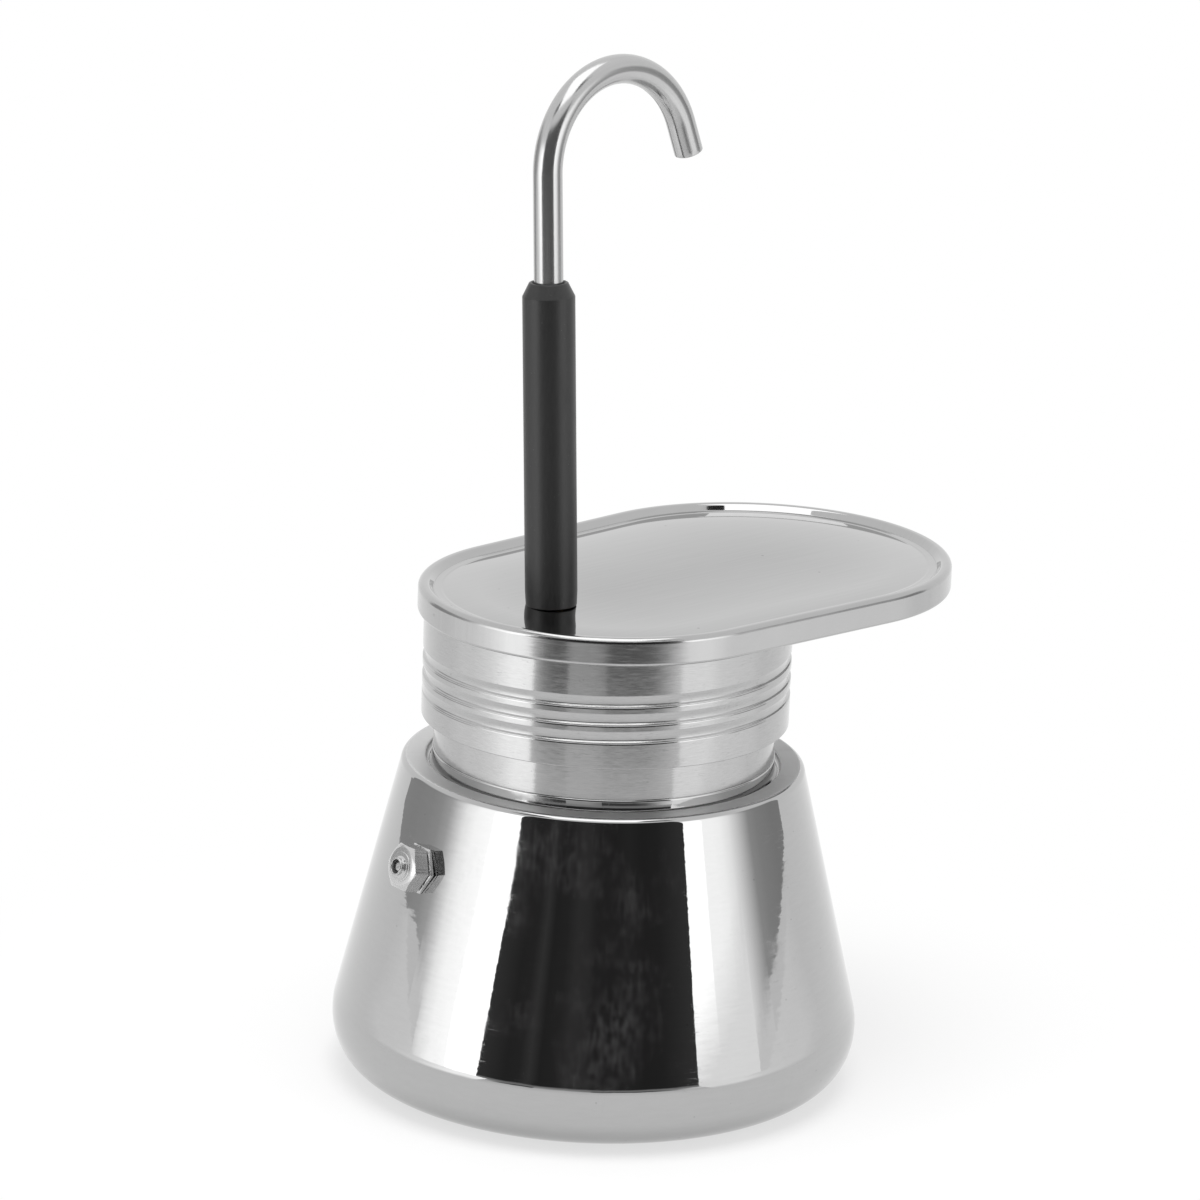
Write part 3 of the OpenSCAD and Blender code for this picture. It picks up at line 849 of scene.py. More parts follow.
def turned_brass():
    mat, n, shader = new_material("turned brass", 0.22, 1.0)
    lines = use_group(n, TURNED_LINES, {
        "Normal": bare_normal(n), "Around": 0.5, "Up": 7.0, "Side Lean": 0.03, "Up Lean": 0.06,
    })
    marks = use_group(n, HANDLING_MARKS, {"Scratch Scale": 0.4, "Speck Scale": 1.2, "Patch Scale": 0.35})
    tone = n.math("MULTIPLY_ADD", marks["Patches"], -0.18, 0.80)
    n.links.new(tinted(n, tone, (0.88, 0.62, 0.27)), shader.inputs["Base Color"])
    n.links.new(n.math("MULTIPLY_ADD", marks["Patches"], 0.15, 0.18), shader.inputs["Roughness"])
    n.links.new(lines["Normal"], shader.inputs["Normal"])
    return mat


def black_plastic():
    """Matte moulded plastic with an upright grain and a few pale specks."""
    mat, n, shader = new_material("black matte plastic", 0.42)
    place = n.add("ShaderNodeTexCoord").outputs["Object"]
    grain_place = n.add("ShaderNodeMapping", {"Vector": place, "Scale": (3200.0, 3200.0, 420.0)}).outputs[0]
    grain = n.noise(grain_place, 1.0, 4.0, 0.7)
    pit = n.noise(n.vector("SCALE", place, scale=4200.0), 1.0, 2.0, 0.6)
    marks = use_group(n, HANDLING_MARKS, {"Scratch Scale": 0.5, "Speck Scale": 1.6, "Patch Scale": 0.10})
    tone = n.math("MULTIPLY_ADD", grain, 0.012, 0.012)
    tone = n.math("MULTIPLY_ADD", marks["Specks"], 0.10, tone)
    n.links.new(grey(n, tone), shader.inputs["Base Color"])
    n.links.new(n.math("MULTIPLY_ADD", marks["Patches"], 0.06, 0.40), shader.inputs["Roughness"])
    height = n.math("MULTIPLY_ADD", pit, 0.6, n.math("MULTIPLY", grain, 0.5))
    bump = n.add("ShaderNodeBump", {"Strength": 0.35, "Distance": 0.00004, "Height": height})
    n.links.new(bump.outputs[0], shader.inputs["Normal"])
    return mat


def soft_rubber(name, colour, rough):
    """Moulded rubber: a dull, faintly mottled skin with fine pits."""
    mat, n, shader = new_material(name, rough)
    place = n.add("ShaderNodeTexCoord").outputs["Object"]
    pit = n.noise(n.vector("SCALE", place, scale=1800.0), 1.0, 4.0, 0.7)
    marks = use_group(n, HANDLING_MARKS, {"Scratch Scale": 0.3, "Speck Scale": 0.9, "Patch Scale": 0.12})
    tone = n.math("MULTIPLY_ADD", marks["Patches"], -0.10, 1.0)
    tone = n.math("MULTIPLY_ADD", marks["Specks"], -0.25, tone)
    n.links.new(tinted(n, tone, colour), shader.inputs["Base Color"])
    n.links.new(n.math("MULTIPLY_ADD", pit, 0.15, rough - 0.08), shader.inputs["Roughness"])
    bump = n.add("ShaderNodeBump", {"Strength": 0.4, "Distance": 0.00005, "Height": pit})
    n.links.new(bump.outputs[0], shader.inputs["Normal"])
    return mat


MIRROR = polished_steel()
COLLAR_STEEL = turned_steel("satin turned steel", 0.45, 0.15, 0.035, 0.06)
PRESSED_STEEL = turned_steel("pressed steel", 0.50, 0.20, 0.03, 0.05)
TRAY_STEEL = tray_steel()
TUBE_STEEL = tube_steel()
VALVE_STEEL = machined_steel()
BRASS = turned_brass()
BLACK = black_plastic()
RUBBER = soft_rubber("white rubber", (0.76, 0.75, 0.71), 0.55)
DARK_RUBBER = soft_rubber("dark rubber", (0.03, 0.03, 0.03), 0.55)

# ---------------------------------------------------------------- boiler


def boiler_shell():
    gutter_r = LIP_R - GUTTER_W
    floor_z = RING_Z - GUTTER_H
    edge_r = NECK_R + MOUTH_EDGE
    gutter = oval_arc(gutter_r, MOUTH_Z, gutter_r - edge_r, MOUTH_Z - floor_z, 270, 180, 12)
    top = rounded([
        (cone_r(RING_Z - 8), RING_Z - 8),
        (cone_r(RING_Z), RING_Z, SHOULDER_R),
        (LIP_R, RING_Z, 0.25),
        (LIP_R - 0.1, floor_z + 0.1),
    ])[:-1]
    under = rounded([
        (NECK_R, floor_z - SHELL_T),
        (LIP_R, floor_z - SHELL_T, 0.3),
        (LIP_R + GUTTER_H, RING_Z - SHELL_T, 0.6),
        (cone_r(RING_Z - SHELL_T, SHELL_T), RING_Z - SHELL_T, 0.5),
        (cone_r(RING_Z - 8, SHELL_T), RING_Z - 8),
    ], 5)
    section = [(0, 0)] + corner_curve() + top + gutter + [(NECK_R, MOUTH_Z)] + under
    section += corner_curve(SHELL_T)[::-1] + [(0, SHELL_T)]
    return mesh_object("boiler_shell_polished", lathe(section, 320), MIRROR, "boiler",
                       ["boiler_shell"])


def boiler_neck():
    in_r = NECK_R - NECK_T
    section = rounded([
        (NECK_R, NECK_BOTTOM_Z, 0.1),
        (NECK_R, NECK_TOP_Z, 0.3),
        (in_r, NECK_TOP_Z, 0.3),
        (in_r, NECK_BOTTOM_Z, 0.1),
    ], 5)
    start_z = THREAD_START_Z - PITCH / 2
    section = split_long(section, start_z - 1, NECK_TOP_Z - 0.5, 0.14)

    def rolled(a, i, r, z):
        return r + ridge(a, z, NECK_TURNS, start_z, NECK_RIDGE_H, NECK_RIDGE_W), z

    return mesh_object("boiler_neck_rolled", lathe(section, 220, rolled), COLLAR_STEEL, "boiler",
                       ["boiler_neck"])


# ---------------------------------------------------------------- safety valve


def valve():
    place = on_valve_axis()
    boss = hex_blank(HEX_W + 0.3, 0, BOSS_T, 0.3, BOSS_BORE_R, place)
    tube = lathe(rounded([
        (BOSS_BORE_R, -BOSS_TUBE_L, 0.1),
        (BOSS_TUBE_R, -BOSS_TUBE_L, 0.2),
        (BOSS_TUBE_R, 0.2),
        (BOSS_BORE_R, 0.2),
    ], 4), 64, None, place)
    sharpen(mesh_object("valve_boss_hex", joined(boss, tube), VALVE_STEEL, "boiler",
                        ["valve_boss"]))
    washer = lathe(rounded([
        (BOSS_BORE_R, BOSS_T, 0.05),
        (BOSS_TUBE_R, BOSS_T, 0.12),
        (BOSS_TUBE_R, BOSS_T + VALVE_WASHER_T, 0.12),
        (BOSS_BORE_R, BOSS_T + VALVE_WASHER_T, 0.05),
    ], 4), 64, None, place)
    mesh_object("valve_washer_cut", washer, DARK_RUBBER, "boiler", ["valve_washer"])
    hex_z = BOSS_T + VALVE_WASHER_T
    front = hex_z + HEX_L
    body = hex_blank(HEX_W, hex_z, front, 0.5, 2.2, place)
    core = lathe(rounded([
        (STUB_BORE_R, CHAMBER_L - SHANK_L),
        (CHAMBER_R, CHAMBER_L - SHANK_L, 0.1),
        (CHAMBER_R, -SHANK_L, 0.1),
        (SHANK_R, -SHANK_L, 0.25),
        (SHANK_R, front + 0.12, 0.12),
        (STUB_R + 0.35, front + 0.15, 0.1),
        (STUB_R, front + 0.45, 0.15),
        (STUB_R, front + STUB_L, 0.22),
        (STUB_BORE_R, front + STUB_L, 0.12),
    ], 5), 72, None, place)
    sharpen(mesh_object("valve_body_hex", joined(body, core), VALVE_STEEL, "boiler",
                        ["valve_body"]))
    seat = lathe(rounded([
        (SEAT_BORE_R, -SHANK_L, 0.1),
        (CHAMBER_R, -SHANK_L, 0.1),
        (CHAMBER_R, -SHANK_L + SEAT_T, 0.05),
        (SEAT_BORE_R, -SHANK_L + SEAT_T, 0.25),
    ], 4), 48, None, place)
    mesh_object("valve_seat_turned", seat, BRASS, "boiler", ["valve_seat"])
    head_z = -SHANK_L + SEAT_T
    pin = lathe(rounded([
        (0, head_z),
        (PIN_HEAD_R, head_z, 0.2),
        (PIN_HEAD_R, head_z + PIN_HEAD_T, 0.15),
        (PIN_R, head_z + PIN_HEAD_T, 0.1),
        (PIN_R, front + STUB_L - 0.5, 0.25),
        (0, front + STUB_L - 0.5),
    ], 4), 48, None, place)
    mesh_object("valve_pin_turned", pin, VALVE_STEEL, "relief_pin", ["valve_pin"])
    low = head_z + PIN_HEAD_T + SPRING_GAP + SPRING_WIRE_R
    high = CHAMBER_L - SHANK_L - SPRING_GAP - SPRING_WIRE_R
    coil = grown(wound_wire(VALVE_STEEL), {
        "Coil Radius": (CHAMBER_R + PIN_R) / 2 * MM, "Wire Radius": SPRING_WIRE_R * MM,
        "Turns": SPRING_TURNS, "Length": (high - low) * MM,
    })
    bmesh.ops.transform(coil, matrix=place @ Matrix.Translation((0, 0, low * MM)), verts=coil.verts)
    mesh_object("valve_spring_wound", coil, VALVE_STEEL, "boiler", ["valve_spring"])


# ---------------------------------------------------------------- basket, gasket and filter plate


def basket():
    in_r = BASKET_R - BASKET_T
    ledge_r = in_r - SCREEN_LEDGE
    rise = BASKET_T * 1.2
    top = NECK_TOP_Z + FLANGE_T
    cup = rounded([
        (DISC_R, NECK_TOP_Z, 0.3),
        (DISC_R, top, 0.3),
        (in_r, top, 0.5),
        (in_r, SCREEN_Z, 0.15),
        (ledge_r, SCREEN_Z, 0.5),
        (STEM_R + BASKET_T, FUNNEL_Z + rise, 0.4),
        (STEM_R, FUNNEL_Z + rise, 0.1),
        (STEM_R, FUNNEL_Z - SOCKET_H, 0.1),
        (STEM_R + BASKET_T, FUNNEL_Z - SOCKET_H, 0.15),
        (STEM_R + BASKET_T, FUNNEL_Z, 0.8),
        (ledge_r, SCREEN_Z - rise, 0.6),
        (BASKET_R, SCREEN_Z - rise, 0.45),
        (BASKET_R, NECK_TOP_Z, 0.2),
    ], 6)
    mesh_object("basket_cup_pressed", lathe(cup, 200), PRESSED_STEEL, "basket", ["basket_cup"])
    stem = rounded([
        (STEM_R, STEM_FOOT_Z, 0.15),
        (STEM_R, FUNNEL_Z, 0.15),
        (STEM_R - 0.5, FUNNEL_Z, 0.15),
        (STEM_R - 0.5, STEM_FOOT_Z, 0.15),
    ], 4)
    mesh_object("basket_stem_drawn", lathe(stem, 96), PRESSED_STEEL, "basket", ["basket_stem"])
    screen_r = in_r - 0.05
    screen = lathe(rounded([
        (0, SCREEN_Z),
        (screen_r, SCREEN_Z, 0.15),
        (screen_r, SCREEN_Z + PLATE_T, 0.15),
        (0, SCREEN_Z + PLATE_T),
    ], 4), 144)
    holes = punched_holes(PRESSED_STEEL)
    screen = grown(holes, {
        "Hole Radius": HOLE_R * MM, "Ring Step": HOLE_STEP * MM,
        "Height": (SCREEN_Z + PLATE_T / 2) * MM, "Depth": 3 * PLATE_T * MM,
    }, screen)
    sharpen(mesh_object("basket_screen_punched", screen, PRESSED_STEEL, "basket",
                        ["basket_screen"]))
    low_z = CAP_Z - DISH_H - PLATE_T
    plate = lathe(rounded([
        (0, low_z),
        (DISH_R - DISH_H / 2, low_z, 0.8),
        (DISH_R + PLATE_T, CAP_Z - PLATE_T, 0.5),
        (DISC_R, CAP_Z - PLATE_T, 0.2),
        (DISC_R, CAP_Z, 0.2),
        (DISH_R, CAP_Z, 0.6),
        (DISH_R - DISH_H / 2, CAP_Z - DISH_H, 0.5),
        (0, CAP_Z - DISH_H),
    ], 6), 144)
    plate = grown(holes, {
        "Hole Radius": HOLE_R * MM, "Ring Step": HOLE_STEP * MM,
        "Height": (low_z + PLATE_T / 2) * MM, "Depth": 3 * PLATE_T * MM,
    }, plate)
    sharpen(mesh_object("filter_plate_punched", plate, PRESSED_STEEL, "filter",
                        ["filter_plate"]))
    base = NECK_TOP_Z + FLANGE_T
    gasket = lathe(rounded([
        (GASKET_HOLE_R, base, 0.35),
        (DISC_R, base, 0.35),
        (DISC_R, base + GASKET_T, 0.35),
        (GASKET_HOLE_R, base + GASKET_T, 0.35),
    ], 5), 160)
    mesh_object("head_gasket_moulded", gasket, RUBBER, "gasket", ["head_gasket"])


# ---------------------------------------------------------------- head


def threaded_collar():
    in_r = COLLAR_R - COLLAR_T
    top_z = TRAY_TOP_Z - TRAY_T
    section = rounded([
        (COLLAR_R, COLLAR_BOTTOM_Z, 0.12),
        (COLLAR_R, top_z, 0.7),
        (0, top_z),
        (0, CAP_Z),
        (in_r, CAP_Z, 0.2),
        (in_r, COLLAR_BOTTOM_Z, 0.12),
    ], 5)
    section = split_long(section, THREAD_START_Z - 1.3, THREAD_START_Z + PITCH * COLLAR_TURNS + 1.3, 0.08)

    def rolled(a, i, r, z):
        if r > COLLAR_R - 0.01:
            return r - rolled_groove(a, z), z
        if abs(r - in_r) < 0.01:
            return r - ridge(a, z, COLLAR_TURNS, THREAD_START_Z, COLLAR_RIDGE_H, COLLAR_RIDGE_W), z
        return r, z

    return mesh_object("threaded_collar_rolled", lathe(section, 256, rolled), COLLAR_STEEL, "head",
                       ["threaded_collar"])


def cup_tray():
    deck_z = TRAY_TOP_Z - DECK_RECESS
    side_z = TRAY_TOP_Z - TRAY_SIDE_H
    under_z = TRAY_TOP_Z - TRAY_T
    section = [(None, under_z), (None, deck_z), (-BORDER_W - 6, deck_z), (-BORDER_W - 0.35, deck_z)]
    section += [(-BORDER_W - 0.12, deck_z - 0.04), (-BORDER_W, deck_z), (-BORDER_W + 0.3, deck_z + 0.02)]
    section += rounded([
        (-BEAD_W - 0.15, deck_z + 0.02, 0.1),
        (-BEAD_W, deck_z - 0.03, 0.08),
        (-BEAD_W + BEAD_SLOPE_W, TRAY_TOP_Z, 0.9),
        (0, TRAY_TOP_Z, TRAY_EDGE_R),
        (0, side_z, TRAY_FOOT_R),
        (-TRAY_T, side_z, 0.35),
        (-TRAY_T, under_z, 0.4),
        (-TRAY_T - 2, under_z),
    ], 12)

    def satin(d, z):
        down = (TRAY_TOP_Z - z - 0.02) / 0.22
        return min(1.0, max(0.0, down)) if d > -TRAY_EDGE_R - 0.1 else 0.0

    return mesh_object("cup_tray_pressed", round_tray(section, satin), TRAY_STEEL, "head",
                       ["cup_tray"])


def tube_place(s):
    """Centre of the tube at distance s along it from the deck, and the direction out of the bend there."""
    bend_l = BEND_R * BEND_ANGLE
    if s <= TUBE_STRAIGHT:
        return Vector((0, 0, s)), Vector((-1, 0, 0))
    a = min(s - TUBE_STRAIGHT, bend_l) / BEND_R
    side = Vector((-cos(a), 0, sin(a)))
    ahead = Vector((sin(a), 0, cos(a)))
    centre = Vector((BEND_R, 0, TUBE_STRAIGHT)) + side * BEND_R
    return centre + ahead * max(0.0, s - TUBE_STRAIGHT - bend_l), side


def spout_tube():
    """Rings along the tube: outside up to the tip, round its rolled edge, and back inside."""
    bend_l = BEND_R * BEND_ANGLE
    end = TUBE_STRAIGHT + bend_l + TIP_L
    in_r = TUBE_R - TUBE_T
    soft = TUBE_T / 2
    steps = 72
    outside = [-TUBE_UNDER] + [TUBE_STRAIGHT * k / 12 for k in range(13)]
    outside += [TUBE_STRAIGHT + bend_l * k / steps for k in range(1, steps + 1)]
    outside += [end - TIP_L / 2, end - soft - 0.6]
    rings = [(s, TUBE_R) for s in outside]
    for k in range(9):
        a = pi * k / 8
        rings.append((end - soft + soft * sin(a), TUBE_R - soft + soft * cos(a)))
    rings += [(s, in_r) for s in reversed(outside)]
    segments = 56
    bm = bmesh.new()
    wrap = bm.loops.layers.uv.new("along the tube")
    loops = []
    for s, r in rings:
        centre, side = tube_place(s)
        across = Vector((0, 1, 0))
        ring = []
        for k in range(segments):
            a = 2 * pi * k / segments
            ring.append(bm.verts.new((centre + (side * cos(a) + across * sin(a)) * r) * MM))
        loops.append(ring)
    for i in range(len(loops)):
        j = (i + 1) % len(loops)
        one, two = loops[i], loops[j]
        for k in range(segments):
            m = (k + 1) % segments
            face = bm.faces.new([one[k], one[m], two[m], two[k]])
            ends = [(k, i), (k + 1, i), (k + 1, j), (k, j)]
            for loop, (u, v) in zip(face.loops, ends):
                loop[wrap].uv = (u / segments, rings[v][0] * MM)
    bmesh.ops.transform(bm, matrix=on_tube_axis(), verts=bm.verts)
    return mesh_object("spout_tube_bent", bm, TUBE_STEEL, "head", ["spout_tube"])


def grip_sleeve():
    foot = CORE_RECESS - DECK_RECESS
    section = rounded([
        (TUBE_R + 0.03, foot),
        (SLEEVE_R - 0.12, foot, 0.15),
        (SLEEVE_R, 1.6, 1.5),
        (SLEEVE_R, SLEEVE_L - SLEEVE_CHAMFER_H, 0.3),
        (SLEEVE_TOP_R, SLEEVE_L, 0.3),
        (TUBE_R + 0.35, SLEEVE_L - 0.15, 0.1),
        (TUBE_R + 0.03, SLEEVE_L - 0.7),
    ], 6)
    return mesh_object("grip_sleeve_moulded", lathe(section, 96, None, on_tube_axis()), BLACK, "head",
                       ["grip_sleeve"])


def tube_fixing():
    """Threaded ferrule on the tube's foot, the washer under the cap and the nut."""
    place = on_tube_axis()
    pitch = 0.6
    section = rounded([
        (TUBE_R + 0.01, -FERRULE_LOW, 0.05),
        (FERRULE_R, -FERRULE_LOW, 0.3),
        (FERRULE_R, FERRULE_UP, 0.2),
        (TUBE_R + 0.01, FERRULE_UP, 0.05),
    ], 4)
    section = split_long(section, -FERRULE_LOW, 0.0, 0.06)

    def cut_thread(a, i, r, z):
        if r < FERRULE_R - 0.01:
            return r, z
        return r - ridge(a, z, 2.6 / pitch, -FERRULE_LOW + 0.2, 0.18, pitch * 0.9, pitch), z

    mesh_object("spout_ferrule_cut", lathe(section, 96, cut_thread, place), BRASS, "head",
                ["spout_ferrule"])
    upright = Matrix.Translation((-TUBE_BACK * MM, 0, 0))
    washer_z = CAP_Z - WASHER_T
    washer = lathe(rounded([
        (FERRULE_R + 0.05, washer_z, 0.1),
        (WASHER_R, washer_z, 0.15),
        (WASHER_R, CAP_Z, 0.1),
        (FERRULE_R + 0.05, CAP_Z, 0.05),
    ], 4), 72, None, upright)
    mesh_object("spout_washer_cut", washer, DARK_RUBBER, "head", ["spout_washer"])
    flip = upright @ Matrix.Translation((0, 0, washer_z * MM)) @ Matrix.Rotation(pi, 4, "X")
    nut = hex_blank(NUT_W, 0, washer_z - NUT_BOTTOM, 0.2, FERRULE_R - 0.05, flip)
    sharpen(mesh_object("spout_nut_cut", nut, BRASS, "head", ["spout_nut"]))


boiler_shell()
boiler_neck()
valve()
basket()
threaded_collar()
cup_tray()
spout_tube()
grip_sleeve()
tube_fixing()

# ---------------------------------------------------------------- camera

FOCAL = 180.0
SENSOR = 36.0
CAM_EL = radians(15.95)
CAM_ROLL = radians(2.16)
CAM_DEPTH = 998.39
AIM = Vector((0, 0, 50))
AIM_X = 0.398
AIM_Y = -30.23
LOOK = Vector((-0.69965, -0.71449, 0))
LOOK_RIGHT = Vector((0.71449, -0.69965, 0))


def camera():
    back = LOOK * cos(CAM_EL) + Vector((0, 0, sin(CAM_EL)))
    up = back.cross(LOOK_RIGHT)
    r = LOOK_RIGHT * cos(CAM_ROLL) + up * sin(CAM_ROLL)
    u = up * cos(CAM_ROLL) - LOOK_RIGHT * sin(CAM_ROLL)
    place = (AIM - r * AIM_X - u * AIM_Y + back * CAM_DEPTH) * MM
    data = bpy.data.cameras.new("camera")
    data.sensor_width = SENSOR
    data.lens = FOCAL
    data.clip_start = 0.05
    data.clip_end = 20
    cam = bpy.data.objects.new("camera", data)
    bpy.context.scene.collection.objects.link(cam)
    cam.matrix_world = Matrix.Translation(place) @ Matrix((r, u, back)).transposed().to_4x4()
    bpy.context.scene.camera = cam


camera()

# ---------------------------------------------------------------- studio, in metres

ROOM_R = 0.70
CEILING_Z = 0.90
DARK = 0.04
SOFTBOX_GLOW = 2.3
# bearings, in degrees, of the dark room's edges and the left gap's, and how far they lean
ROOM_LEFT = -43.5
ROOM_RIGHT = 45
GAP_LEFT = -89
LEAN = 5.0
LEAN_FADE = 27
LEAN_FOOT_Z = 0.045
LEAN_TOP_Z = 0.125


def glow_material():
    """Shines as brightly as the glow written on its mesh."""
    mat = bpy.data.materials.new("studio card")
    mat.use_nodes = True
    mat.node_tree.nodes.clear()
    n = Nodes(mat.node_tree)
    glow = n.add("ShaderNodeAttribute", attribute_name="glow").outputs["Fac"]
    shine = n.add("ShaderNodeEmission", {"Strength": glow}).outputs[0]
    n.add("ShaderNodeOutputMaterial", {"Surface": shine})
    return mat


GLOW = glow_material()


def bearing(angle, radius, z):
    """A place round the pot; angle in degrees, 0 towards the viewer, more to the right."""
    a = radians(angle)
    flat = (LOOK * cos(a) + LOOK_RIGHT * sin(a)) * radius
    return Vector((flat.x, flat.y, z))


def card(name, rows):
    """A card seen only in reflections, from rows of (place, glow)."""
    bm = bmesh.new()
    layer = bm.verts.layers.float.new("glow")
    made = []
    for row in rows:
        line = []
        for place, glow in row:
            v = bm.verts.new(place)
            v[layer] = glow
            line.append(v)
        made.append(line)
    for one, two in zip(made, made[1:]):
        for i in range(len(one) - 1):
            bm.faces.new([one[i], one[i + 1], two[i + 1], two[i]])
    me = bpy.data.meshes.new(name)
    bm.to_mesh(me)
    bm.free()
    me.materials.append(GLOW)
    obj = bpy.data.objects.new(name, me)
    bpy.context.scene.collection.objects.link(obj)
    obj.visible_camera = False
    obj.visible_diffuse = False
    obj.visible_shadow = False
    obj.visible_transmission = False


def between(stops, step=3.0):
    """The stops (bearing, glow and perhaps an edge) with more between them, at most a step apart."""
    out = [stops[0]]
    for one, two in zip(stops, stops[1:]):
        n = max(1, int((two[0] - one[0]) / step + 0.999))
        out += [tuple(p + (q - p) * k / n for p, q in zip(one, two)) for k in range(1, n + 1)]
    return out


def leaning(a, z):
    """Bearing of an upright line of the left wall at height z: low down, the lines lean away to the left."""
    low = min(1.0, max(0.0, (LEAN_TOP_Z - z) / (LEAN_TOP_Z - LEAN_FOOT_Z)))
    inner = min(1.0, max(0.0, a / ROOM_LEFT))
    outer = min(1.0, max(0.0, (a - GAP_LEFT) / LEAN_FADE))
    return a - LEAN * low * inner * outer


def wall(name, stops, levels):
    """Part of the round wall. A level (z, share, glow) turns that share of the wall's own glow into its glow.

    A stop may hold a third number, the height at which the wall begins there."""
    rows = []
    for a, glow, *foot in between(stops):
        here = levels if not foot else [(foot[0], 0, 0)] + levels[1:]
        row = [(bearing(leaning(a, z), ROOM_R, z), glow + (other - glow) * share) for z, share, other in here]
        rows.append(row)
    card(name, rows)


def ground_card(name, stops, rings, z=0.001):
    """Part of the floor as reflections see it: rings (radius, share, glow) work as the wall's levels do."""
    rows = []
    for a, glow, *near in between(stops):
        here = rings if not near else [(near[0], 0, 0)] + rings[1:]
        rows.append([(bearing(a, r, z), glow + (other - glow) * share) for r, share, other in here])
    card(name, rows)


def overhead(name, z, left, right, rear, front, glow):
    """A level card above the pot, reaching to its left, right, rear and front from the axis."""
    rows = []
    for side in (left, right):
        rows.append([(LOOK * t + LOOK_RIGHT * side + Vector((0, 0, z)), glow) for t in (rear, front)])
    card(name, rows)


def studio_cards():
    """Lights, a dark room and the floor round the pot, each level or ring given as (place, share, glow)."""
    high = [(0.045, 0, 0), (0.085, 0, 0), (0.125, 0, 0), (0.30, 0, 0), (0.42, 1, 1.0)]
    tall = high[:3] + [(0.60, 0, 0), (0.69, 1, 1.0)]
    lit = [(0.0, 0, 0)] + high
    dimmed = [(0.0, 1, 1.4), (0.045, 1, 1.45), (0.075, 0, 0)] + high[2:]
    faded = [(0.0, 1, 1.1), (0.010, 1, 1.1), (0.026, 0, 0)] + high
    room = [(0.0, 1, 0.30), (0.010, 1, 0.30), (0.022, 0, 0)] + tall
    wall("left gap", [(-128, 0.40, 0.0), (-104, 0.46, 0.0), (-96, 0.52, 0.014), (GAP_LEFT, 0.68, 0.018)], lit)
    wall("left gap foot", [(GAP_LEFT, 0.68), (-86, 0.85), (-80, 1.3)], faded)
    wall("left light", [
        (-80, 1.3), (-76, 1.65), (-69, 1.98), (-62, 2.1), (-59, 2.15), (-59, 2.6), (ROOM_LEFT, 2.6),
    ], lit)
    wall("dark room", [
        (ROOM_LEFT, 0.06), (-38, 0.045), (-33, 0.032), (-28, 0.035), (-24, 0.060), (-20, 0.030), (-14, 0.034),
        (-9, 0.050), (-4, 0.046), (0, 0.030), (8, 0.028), (15, 0.034), (22, 0.027), (30, 0.030), (38, 0.045),
        (ROOM_RIGHT, 0.06),
    ], room)
    wall("right light", [
        (ROOM_RIGHT, 2.3), (56, 2.3), (56, 1.95), (62, 1.93), (67, 1.85), (72, 1.6), (75, 1.35),
    ], dimmed)
    wall("right gap foot", [(75, 1.35), (77, 1.2), (82, 0.80), (86, 0.50)], faded)
    wall("right gap", [(86, 0.50, 0.018), (92, 0.42, 0.015), (104, 0.36, 0.010), (113, 0.36, 0.004)], lit)
    step = [
        (0.13, 1, 0.98), (0.18, 1, 0.88), (0.235, 1, 0.86), (0.262, 0, 0), (0.36, 0, 0),
        (0.45, 0.8, 0.36), (ROOM_R, 0.8, 0.36),
    ]
    open_floor = [(0.13, 1, 1.0), (0.19, 0, 0), (ROOM_R, 0, 0)]
    ground_card("dark ground left", [
        (ROOM_LEFT, 0.95), (-40, 0.55), (-36, 0.22), (-30, 0.08), (-22.5, 0.08),
    ], step)
    ground_card("pale ground", [(-22.5, 0.52), (-8, 0.50), (-2, 0.36), (0, 0.34)], step)
    ground_card("dark ground right", [
        (0, 0.08), (20, 0.08), (27, 0.16), (33, 0.42), (39, 0.85), (ROOM_RIGHT, 1.25),
    ], step)
    ground_card("bright ground left", [
        (-108, 1.0), (-98, 1.12), (-86, 1.16), (-73, 1.35), (-66, 1.60), (-58, 1.85), (ROOM_LEFT, 1.85),
    ], open_floor)
    ground_card("bright ground right", [
        (ROOM_RIGHT, 1.40), (62, 1.42), (72, 1.22), (98, 1.12), (108, 1.0),
    ], open_floor)
    far = [(0.40, 0, 0), (ROOM_R, 0, 0)]
    ground_card("side ground left", [
        (-130, 0.42, 0.37), (-120, 0.42, 0.37), (-112, 0.43, 0.45), (-103, 0.46, 0.66),
    ], far, 0.002)
    overhead("overhead softbox", CEILING_Z, -0.32, 0.24, -0.30, 0.46, SOFTBOX_GLOW)
    overhead("overhead frame", CEILING_Z + 0.01, -0.62, 0.48, 0.22, 0.44, DARK)


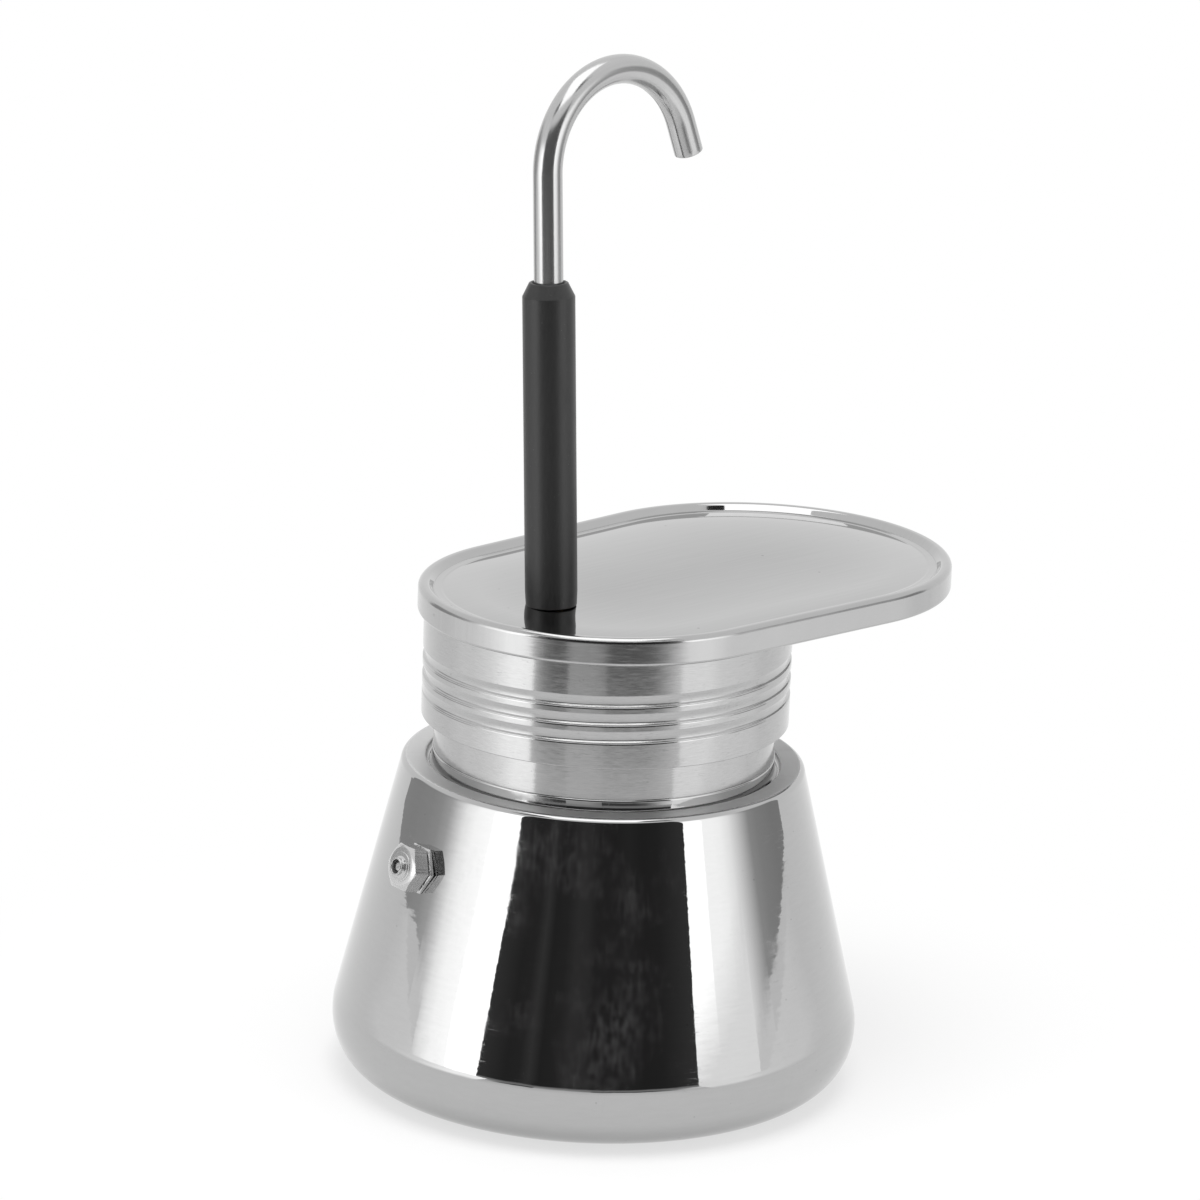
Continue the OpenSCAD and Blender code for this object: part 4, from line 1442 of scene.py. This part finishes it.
def studio_world():
    world = bpy.data.worlds.new("white studio")
    bpy.context.scene.world = world
    world.use_nodes = True
    world.node_tree.nodes.clear()
    n = Nodes(world.node_tree)
    strength = n.remap(seen_ray(n), 0, 1, 0.55, 1.0)
    white = n.add("ShaderNodeBackground", {"Color": (1, 1, 1, 1), "Strength": strength}).outputs[0]
    n.add("ShaderNodeOutputWorld", {"Surface": white})


def seen_ray(n):
    """1 for what the viewer sees directly, in metal or through glass."""
    path = n.add("ShaderNodeLightPath").outputs
    seen = n.math("ADD", path["Is Camera Ray"], path["Is Glossy Ray"])
    return n.math("ADD", seen, path["Is Transmission Ray"], clamp=True)


def white_floor():
    mat = bpy.data.materials.new("white floor")
    mat.use_nodes = True
    mat.node_tree.nodes.clear()
    n = Nodes(mat.node_tree)
    place = n.add("ShaderNodeTexCoord").outputs["Object"]
    dist = n.add("ShaderNodeVectorMath", {0: place}, operation="LENGTH").outputs[1]
    away = n.math("MULTIPLY", n.remap(dist, 0.0, 0.13, 0.45, 1.0), seen_ray(n))
    matt = n.add("ShaderNodeBsdfDiffuse", {"Color": (0.92, 0.92, 0.92, 1)}).outputs[0]
    white = n.add("ShaderNodeEmission", {"Strength": 1.0}).outputs[0]
    both = n.add("ShaderNodeMixShader", {0: away, 1: matt, 2: white}).outputs[0]
    n.add("ShaderNodeOutputMaterial", {"Surface": both})
    bm = bmesh.new()
    bmesh.ops.create_grid(bm, x_segments=1, y_segments=1, size=3)
    me = bpy.data.meshes.new("floor")
    bm.to_mesh(me)
    bm.free()
    me.materials.append(mat)
    floor_obj = bpy.data.objects.new("floor", me)
    floor_obj.location.z = -0.0002
    bpy.context.scene.collection.objects.link(floor_obj)


def overhead_lamp():
    light = bpy.data.lights.new("overhead lamp", "AREA")
    light.shape = "RECTANGLE"
    light.size = 0.8
    light.size_y = 0.8
    light.energy = 9
    lamp = bpy.data.objects.new("overhead lamp", light)
    lamp.location = (-0.1, -0.1, 1.1)
    lamp.visible_glossy = False
    bpy.context.scene.collection.objects.link(lamp)


bpy.context.scene.view_settings.view_transform = "Standard"
studio_world()
white_floor()
studio_cards()
overhead_lamp()
